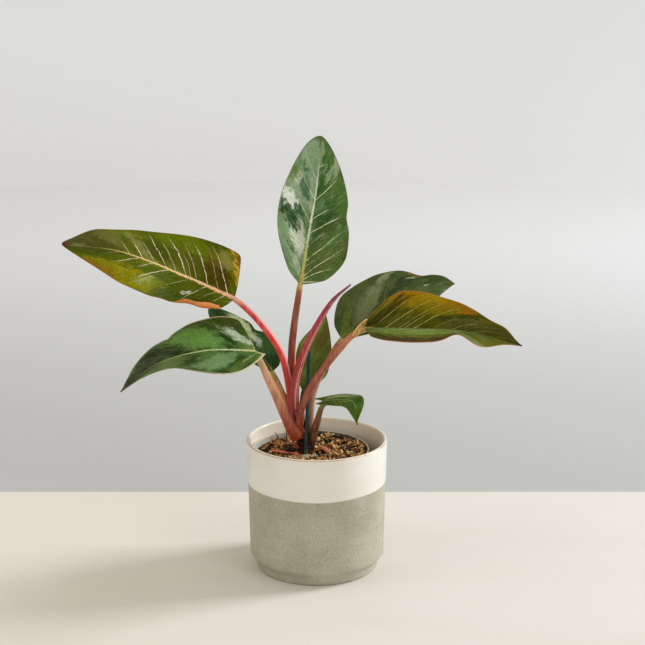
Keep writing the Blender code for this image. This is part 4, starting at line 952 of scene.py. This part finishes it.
def soil_chips(rng):
    """Loose chips, pale and dark ones in drifts, with painted shade: chips set lower are darker, those in the
    hollows much darker.
    """
    verts, faces, tones = [], [], []
    corners = np.array([(a, b, c) for a in (-1, 1) for b in (-1, 1) for c in (-1, 1)], float) / 2
    sheet = np.array(((0, 1, 3, 2), (4, 6, 7, 5), (0, 4, 5, 1), (2, 3, 7, 6), (0, 2, 6, 4), (1, 5, 7, 3)))
    while len(verts) < CHIPS:
        x, y = soil_spot(rng, SOIL_RADIUS - 1.4)
        if math.hypot(x + INNER_OFFSET - TRUNK[0], y - TRUNK[1]) < TRUNK[2] - 0.5:
            continue
        big = rng.random() ** 2.0
        size = np.array([1.3 + 3.4 * big, 0.8 + 1.6 * big * rng.uniform(0.5, 1), 0.5 + 0.9 * big])
        shape = corners * size * np.array([[rng.uniform(0.55, 1.1) for _ in range(3)] for _ in range(8)])
        matrix = turned(rng.uniform(-0.7, 0.7), rng.uniform(-0.7, 0.7), rng.uniform(0, math.tau))
        rise = rng.uniform(-1.2, 1.0) + 0.25 * big
        faces += (sheet + 8 * len(verts)).tolist()
        verts.append(shape @ matrix.T + (x + INNER_OFFSET, y, soil_height(x, y) + rise))
        drift = 0.5 * noise.noise(Vector((x, y, 7)) * 0.09) + 0.4 * noise.noise(Vector((x, y, 9)) * 0.22)
        # Painted shade: the tone drops for chips set lower and for chips in the hollows.
        tone = 0.44 + drift + 0.26 * rise + rng.gauss(0, 0.26) - 0.6 * min(hollow_at(x, y, False), 1.0)
        tones += [min(max(tone, 0.02), 0.98)] * 8
    soil_piece("soil_chips", "bark_chips", np.concatenate(verts) * MM, faces, 0.94, tones, sharp=None)


def soil_fibres(rng):
    """Thin coir fibres and two standing twigs."""
    verts, faces, tones = [], [], []

    def strand(points, radii, tone, sides=5, rings=14):
        more, four, _ = sweep(*limb(points, radii, rings, MM), sides)
        faces.extend(four + len(tones))
        verts.append(more)
        tones.extend([tone] * len(more))

    for _ in range(FIBRES):
        (x, y), way, length = soil_spot(rng, SOIL_RADIUS - 9), rng.uniform(0, math.tau), rng.uniform(3, 8)
        line = []
        for f in (-1, -0.3, 0.4, 1):
            px = x + f * length * math.cos(way) + rng.uniform(-1, 1)
            py = y + f * length * math.sin(way) + rng.uniform(-1, 1)
            if math.hypot(px, py) > SOIL_RADIUS - 1.5:
                px, py = x, y
            line.append((px + INNER_OFFSET, py, soil_height(px, py) + rng.uniform(0.2, 1.3)))
        strand(line, (0.12, 0.2, 0.2, 0.1), rng.uniform(0.55, 0.95))
    for foot, tip in np.array(TWIGS):
        strand((foot, (foot + tip) / 2 + (0.5, -0.4, 0), tip), (0.62, 0.55, 0.3), 0.36, 10, 18)
    soil_piece("soil_fibres", "coir_fibres", np.concatenate(verts), faces, 1.0, tones)


def soil_flake():
    """Curled flake of bark that stands in an arch on the chips."""
    start, end = np.array((-1.5, 6, SOIL_EDGE + 1.0)), np.array((17.0, -4.5, SOIL_EDGE - 1))
    across = unit(np.cross(end - start, (0, 0, 1)))
    t, u = np.linspace(0, 1, 41), np.linspace(-1, 1, 13)
    half = 3.1 * (0.4 + 0.6 * np.sin(math.pi * t)) * (1 + 0.12 * np.sin(9 * t))
    rise = 7.5 * np.sin(math.pi * t ** 0.8)[:, None] ** 0.8 - 1.4 * u ** 2
    rough = np.array([[noise.noise(Vector((9 * a, 2 * b, 0))) for b in u] for a in t])
    top = start + (end - start) * t[:, None, None] + across * (half[:, None] * u)[..., None]
    top[..., 2] += rise + 0.5 * rough
    verts, faces, _ = shell(top - (0, 0, 0.9), top, open_ends=True, even=True)
    s = Surface("bark_flake", 0.6)
    grain = s.noise(420, 4, distortion=0.6)
    s.base = s.ramp(grain, ((0.25, (120, 56, 30)), (0.5, (204, 124, 76)), (0.75, (240, 178, 130))))
    piece("soil_flake", "soil", verts, faces, [s.done(grain, (0.5, 0.75), 0.0004)], None, 40)


def soil_grit(rng):
    """Pale rounded grit in front of the trunk."""
    verts, faces = [], []
    rows, cols = 7, 9
    for number in range(GRIT):
        spread = 9.0 if number < 22 else 40.0
        x, y = -8.5 + rng.gauss(0, spread * 0.6), -9.5 + rng.gauss(0, spread * 0.22)
        near_trunk = math.hypot(x - TRUNK[0], y - TRUNK[1]) < TRUNK[2] + 1
        if math.hypot(x - INNER_OFFSET, y) > SOIL_RADIUS - 3 or near_trunk:
            continue
        size = rng.uniform(0.6, 1.3)
        centre = np.array((x, y, soil_height(x - INNER_OFFSET, y) + size * 0.5 + 0.8))
        faces.extend(turned_over(quads(rows, cols, closed=True)) + len(verts))
        for i in range(rows):
            for j in range(cols):
                lat, lon = math.pi * i / (rows - 1), math.tau * j / cols
                flat = math.sin(lat)
                way = Vector((flat * math.cos(lon), flat * math.sin(lon), 0.75 * math.cos(lat)))
                lump = 1 + 0.3 * noise.noise(way * 1.6 + Vector((number, 0, 0)))
                verts.append(centre + np.array(way) * size * lump)
    s = Surface("pale_grit", 0.8)
    tones = ((0.3, (170, 148, 120)), (0.6, (226, 210, 188)), (0.8, (246, 238, 224)))
    s.base = s.ramp(s.noise(700, 3), tones)
    piece("soil_grit", "soil", np.array(verts) * MM, faces, [s.done(s.noise(1500), None, 0.0003)])


def make_strips():
    """Two dried sheath scraps: thin, arched, ribbed and pointed, lying on the chips."""
    for name, (plan, half) in STRIP_PLANS.items():
        t, u = np.linspace(0, 1, 61), np.linspace(-1, 1, 13)
        flat = spline([(x, y, 0) for x, y in plan], t)
        ahead = unit(np.gradient(flat, axis=0))
        across = np.stack([-ahead[:, 1], ahead[:, 0], 0 * t], 1)
        girth = np.maximum(half * np.sin(math.pi * (0.04 + 0.92 * t)) ** 0.7, 0.25)
        top = flat[:, None] + across[:, None] * (girth[:, None] * u)[..., None]
        arch = 0.7 * np.sin(math.pi * t)[:, None] * (1 - 0.5 * u ** 2) + 0.6 * (1 - u ** 2)
        top[..., 2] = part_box(name)[1][2] / MM - 1.3 + arch + 0.12 * np.cos(u * 14)
        verts, faces, _ = shell(top - (0, 0, 0.35), top, even=True)
        s = Surface(name + "_skin")
        grain = s.noise(520, 4, stretch=(0.5, 1, 1))
        colour = s.ramp(grain, ((0.25, (176, 60, 44)), (0.5, (222, 104, 84)), (0.75, (246, 164, 140))))
        s.base = s.mix(s.between(s.value("ends"), 0.0, 0.16), (110, 50, 36), colour)
        ends = np.tile(np.repeat(np.minimum(t, 1 - t), len(u)), 2)
        skin = s.done(grain, (0.42, 0.6), 0.0003)
        piece(name + "_scrap", name, verts, faces, [skin], {"ends": ends}, 50)


def make_sheath():
    """Small dried sheath flap, folded to a pocket, at the base of the front right blade."""
    start, end = np.array((36.0, -17.5, 242.0)), np.array((48.5, -16.5, 259.5))
    way = unit(end - start)
    face = unit(np.cross(way, (0.75, 0.5, -0.45)))
    over = np.cross(way, face)
    u, v = np.linspace(0, 1, 27)[:, None], np.linspace(-1, 1, 15)
    half = (3.0 * (1 - u) ** 0.55 + 0.7) * (0.75 + 0.25 * np.sin(math.pi * u))
    line = start + (end - start) * u + over * (1.2 * np.sin(math.pi * u))
    sag = -1.5 * (1 - v ** 2) * np.sin(math.pi * (0.15 + 0.8 * u)) + 0.5 * np.cos(v * 9) * (1 - u)
    front = line[:, None] + over * (half * v)[..., None] + face * sag[..., None]
    verts, faces, _ = shell(front, front - face * 0.5)
    s = Surface("sheath_skin")
    grain = s.noise(500, 3, stretch=(1, 1, 0.4))
    s.base = s.ramp(grain, ((0.3, (124, 84, 30)), (0.5, (196, 146, 56)), (0.75, (232, 190, 104))))
    s.lay(s.between(s.value("edge"), 0.72, 0.95), (246, 214, 186))
    edge = np.tile(np.maximum(np.abs(v), u ** 4).ravel(), 2)
    skin = s.done(grain, (0.42, 0.6), 0.0004)
    piece("front_right_sheath", "stems", verts, faces, [skin], {"edge": edge}, 50)


def pot_profile(line):
    """Radius, height and material (0 clay, 1 glaze) down the outside and up the inside, from a glaze line."""

    def wall(z):
        return POT_LOW + (POT_RIM - POT_LOW) * (z - POT_BEVEL) / (POT_HEIGHT - POT_BEVEL)

    rows = [(0.0, 0.35, 0)]
    for out, z in ((-8, 0.35), (-5.5, 0.0), (-2.6, 0.0), (-0.9, 0.5), (0, 1.6), (0.3, 3.5), (0.7, 6.5),
                   (1.3, 8.6), (2.4, 10.2), (4.2, 12.2)):
        rows.append((POT_FOOT + out, z, 0))
    for out, up in ((-0.75, -1.3), (-0.25, -0.4), (-0.02, 0.7)):
        rows.append((POT_LOW + out, POT_BEVEL + up, 0))
    for f in (0.15, 0.35, 0.55, 0.75, 0.9, 0.97):
        z = POT_BEVEL + (line - POT_BEVEL) * f
        rows.append((wall(z) - 0.3, z, 0))
    for out, up in ((-0.3, -0.1), (-0.12, 0), (0.02, 0.35), (0.08, 0.9), (0.0, 2.0)):
        rows.append((wall(line) + out, line + up, int(up >= 0)))
    lip = POT_WALL / 2
    for f in (0.2, 0.45, 0.7, 0.9):
        z = line + 2 + (POT_HEIGHT - lip - line - 2) * f
        rows.append((wall(z), z, 1))
    for turn in math.pi * np.arange(13) / 12:
        rows.append((POT_RIM - lip + lip * math.cos(turn), POT_HEIGHT - lip + lip * math.sin(turn), 1))
    inner_top, inner_low = POT_RIM - POT_WALL, POT_LOW - POT_WALL
    for f in (0.1, 0.3, 0.5, 0.7, 0.9, 1.0):
        z = POT_HEIGHT - lip + (POT_BEVEL + 9 - POT_HEIGHT + lip) * f
        rows.append((inner_top + (inner_low - inner_top) * f, z, 1))
    for radius, up in ((inner_low - 2.2, 7), (POT_FOOT - 3, 1.6), (POT_FOOT - 4.6, 0), (30.0, 0), (0.0, 0)):
        rows.append((radius, POT_FLOOR + up, 1))
    return rows


def revolved(rows, around):
    """Points of rows of radius and height, single or one for each angle, turned round the upright axis."""
    rings = [np.stack([r * np.cos(around), r * np.sin(around), z + 0 * around], 1) for r, z in rows]
    return np.concatenate(rings)


def make_pot():
    """Cover pot: bare speckled clay below a hand-dipped glaze line, glazed lip and inside; the inside is
    painted brighter and warmer, as light bounced from the soil.
    """
    angle = math.tau * np.arange(240) / 240
    line = GLAZE_LINE + 0.7 * np.cos(angle) + 0.35 * np.sin(2 * angle + 1) + 0.2 * np.sin(5 * angle)
    rows = pot_profile(line)
    verts = revolved([(radius, z) for radius, z, _ in rows], angle) * MM
    kinds = np.array([kind for _, _, kind in rows])
    kinds = np.repeat(np.maximum(kinds[:-1], kinds[1:]), len(angle))

    s = Surface("speckled_clay", 0.75)
    grain = s.noise(620, 3, 0.7)
    s.base = s.mix(s.between(s.noise(26, 3), 0.35, 0.65), (173, 169, 151), (188, 183, 167))
    s.lay(s.between(grain, 0.45, 0.26, 0.0, 0.8), (104, 94, 70))
    s.lay(s.between(grain, 0.56, 0.74, 0.0, 0.7), (216, 209, 186))
    s.lay(s.between(s.cells(460), 0.2, 0.09, 0.0, 0.75), (92, 80, 58))
    throwing = s.noise(60, stretch=(0.05, 0.05, 4))
    s.lay(s.between(throwing, 0.4, 0.7, 0.0, 0.06), (120, 110, 88))
    clay = s.done(grain, (0.68, 0.85), 0.00025, s.fit(throwing, 0.1, grain))

    s = Surface("white_glaze", 0.3, coat_weight=0.15, coat_roughness=0.2)
    cloud, up, x, y = s.noise(18, 3), s.axis("Z"), s.axis("X"), s.axis("Y")
    radius = s.math("SQRT", s.fit(x, x, y * y))
    s.base = s.mix(s.between(cloud, 0.3, 0.7), (233, 230, 222), (238, 237, 233))
    specks = s.between(s.cells(300), 0.14, 0.05) * s.between(s.noise(90), 0.52, 0.7)
    s.lay(specks * 0.35, (150, 132, 104))
    top, edge = POT_HEIGHT * MM, POT_RIM * MM
    # Painted light: inside the rim the glaze is made brighter and warmer, for the light that the soil bounces
    # onto the inner wall.
    s.lay(s.between(radius, edge - 0.0026, edge - 0.0032), (252, 244, 230))
    rim = s.between(up, top - 0.0016, top - 0.0012) * s.between(up, top - 0.0001, top - 0.0005)
    thin = s.between(radius, edge - 0.0018, edge - 0.0013) * rim
    thin = thin * s.between(s.noise(60, 3), 0.3, 0.6, 0.3, 0.85)
    s.lay(thin, (208, 160, 116))
    glaze = s.done(cloud, (0.26, 0.36), 0.0002, s.fit(s.noise(600), 0.12, s.noise(45)))
    faces = quads(len(rows), len(angle), closed=True)
    piece("cover_pot_body", "cover_pot", verts, faces, [clay, glaze], None, 35, kinds)


def dress_nursery_pot():
    """Thin moulded plastic: dark and dusty, with a paler worn rim, and painted light that makes the left side
    pale, where its inside faces the key lamp.
    """
    s = Surface("nursery_plastic_worn", 0.45)
    dust = s.noise(160, 4)
    s.base = s.mix(s.between(dust, 0.35, 0.7), (58, 68, 74), (106, 118, 122))
    # Painted light: the left side is made much paler, where the inside faces the key lamp.
    s.lay(s.between(s.axis("X"), -0.015, -0.045, 0.0, 0.8), (208, 208, 200))
    top = NURSERY_TOP * MM
    worn = s.between(s.axis("Z"), top - 0.0009, top - 0.0003) * s.between(dust, 0.3, 0.5, 0.5, 0.95)
    s.lay(worn, (214, 196, 168))
    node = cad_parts["nursery_pot"]
    node.data.materials.clear()
    node.data.materials.append(s.done(dust, (0.4, 0.62), 0.0002, s.noise(700)))


def make_stake():
    """Plastic-coated rod with a rounded top and faint ridges."""
    low, high, radius = STAKE
    spine = np.linspace(np.array(low, float), np.array(high, float) - (0.1, 0.1, 1.8), 120) * MM
    sizes = radius * MM * (1 + 0.03 * np.sin(np.arange(len(spine)) * 0.9))
    verts, faces, _ = sweep(*rounded(spine, sizes, 6), 28)
    s = Surface("stake_coating", 0.34)
    streak = s.noise(500, 3, stretch=(1, 1, 0.15))
    s.base = s.mix(s.between(streak, 0.35, 0.7), (8, 36, 34), (20, 78, 68))
    soil = SOIL_EDGE * MM
    s.lay(s.between(s.axis("Z"), soil + 0.0125, soil + 0.0005, 0.0, 0.35), (96, 104, 84))
    piece("stake_rod", "stake", verts, faces, [s.done(streak, (0.28, 0.5), 0.0002)])


def make_stage():
    """Pale warm table top that turns to a light grey sweep behind the pot, with painted shade that makes the
    sweep darker just behind the table's edge, fading further back.
    """
    around = math.tau * np.arange(128) / 128
    floor = [(r, 0.0) for r in (0.0, 0.1, 0.25, 0.5, 1.0, 1.6, TABLE_REACH)]
    curve = [(TABLE_REACH + SWEEP_RADIUS * math.sin(a), SWEEP_RADIUS * (1 - math.cos(a)))
             for a in np.linspace(0, math.pi / 2, 14)]
    curve += [(TABLE_REACH + SWEEP_RADIUS, z) for z in (2.2, WALL_TOP)]
    s = Surface("pale_sweep", 0.85, specular_ior_level=0.2)
    across, back = s.axis("X"), s.axis("Y")
    wall = s.mix(s.between(across, -1.2, 0.9), (219, 223, 230), (214, 217, 223))
    # Painted shade: the sweep is darkened just behind the table's edge and lightens further back.
    wall = s.mix(s.between(back, 0.2, 1.7, 0.62, 0.0), wall, (166, 168, 169))
    s.base = s.mix(s.between(across, -0.35, 0.3), (229, 225, 220), (228, 225, 223))
    s.lay(s.between(s.noise(14, 4, stretch=(0.25, 1, 1)), 0.4, 0.75, 0.0, 0.12), (214, 198, 180))
    s.lay(s.between(back, 0.2, 0.206), wall)
    material = s.done()
    for name, rows in (("floor", floor), ("backdrop", curve)):
        mesh = bpy.data.meshes.new(name)
        faces = turned_over(quads(len(rows), len(around), closed=True))
        mesh.from_pydata(revolved(rows, around).tolist(), [], faces.tolist())
        mesh.materials.append(material)
        mesh.shade_smooth()
        thing = link(name, mesh)
        if name == "backdrop":
            thing.visible_diffuse = thing.visible_glossy = thing.visible_shadow = False


def area_light(name, place, aim, size, power, colour=(1, 1, 1)):
    data = bpy.data.lights.new(name, "AREA")
    data.shape = "RECTANGLE"
    data.size, data.size_y = size
    data.energy = power
    data.color = colour
    thing = link(name, data)
    thing.location = place
    thing.rotation_mode = "QUATERNION"
    thing.rotation_quaternion = (Vector(aim) - Vector(place)).to_track_quat("-Z", "Y")
    thing.visible_camera = False


def make_light():
    """A warm room, a large cool lamp at the right and four weak ones."""
    world = bpy.data.worlds.new("studio")
    world.use_nodes = True
    sky = world.node_tree.nodes["Background"].inputs
    sky[0].default_value = (1.0, 0.895, 0.72, 1.0)
    sky[1].default_value = 0.54
    bpy.context.scene.world = world
    plant = (0.0, 0.0, 0.2)
    area_light("key", (3.2, 1.0, 2.0), plant, (1.1, 1.1), 111.0, (0.92, 0.97, 1.0))
    area_light("front", (1.7, -1.9, 1.2), plant, (1.0, 1.0), 10.5, (0.84, 0.93, 1.0))
    area_light("fill", (-1.4, -0.5, 0.9), plant, (0.9, 0.9), 4.0, (0.97, 0.985, 1.0))
    area_light("top", (0.0, 1.0, 3.2), (0.0, 1.0, 0.0), (5.0, 5.0), 12.0)
    area_light("wall", (0.0, 1.6, 2.4), (0.0, 3.6, 0.9), (3.0, 1.0), 14.0)


def make_camera():
    data = bpy.data.cameras.new("camera")
    data.lens, data.sensor_width = LENS, SENSOR
    thing = link("camera", data)
    thing.location = CAMERA_PLACE
    thing.rotation_euler = (math.radians(90 - CAMERA_PITCH), 0.0, 0.0)
    bpy.context.scene.camera = thing


make_pot()
dress_nursery_pot()
crumbs = random.Random(SOIL_SEED)
soil_bed()
soil_chips(crumbs)
soil_fibres(crumbs)
soil_flake()
soil_grit(crumbs)
make_strips()
make_stake()
make_trunk()
make_young_leaf()
make_sheath()
for number, (name, leaf) in enumerate(LEAVES.items()):
    make_stalk(name, leaf, STALK_LOOKS[name], LIT_SIDE_STRIPS.get(name))
    make_leaf(name, leaf, {**PLAIN_LOOK, **LOOKS[name]}, number)
make_stage()
make_light()
make_camera()
bpy.context.scene.view_settings.view_transform = "Standard"
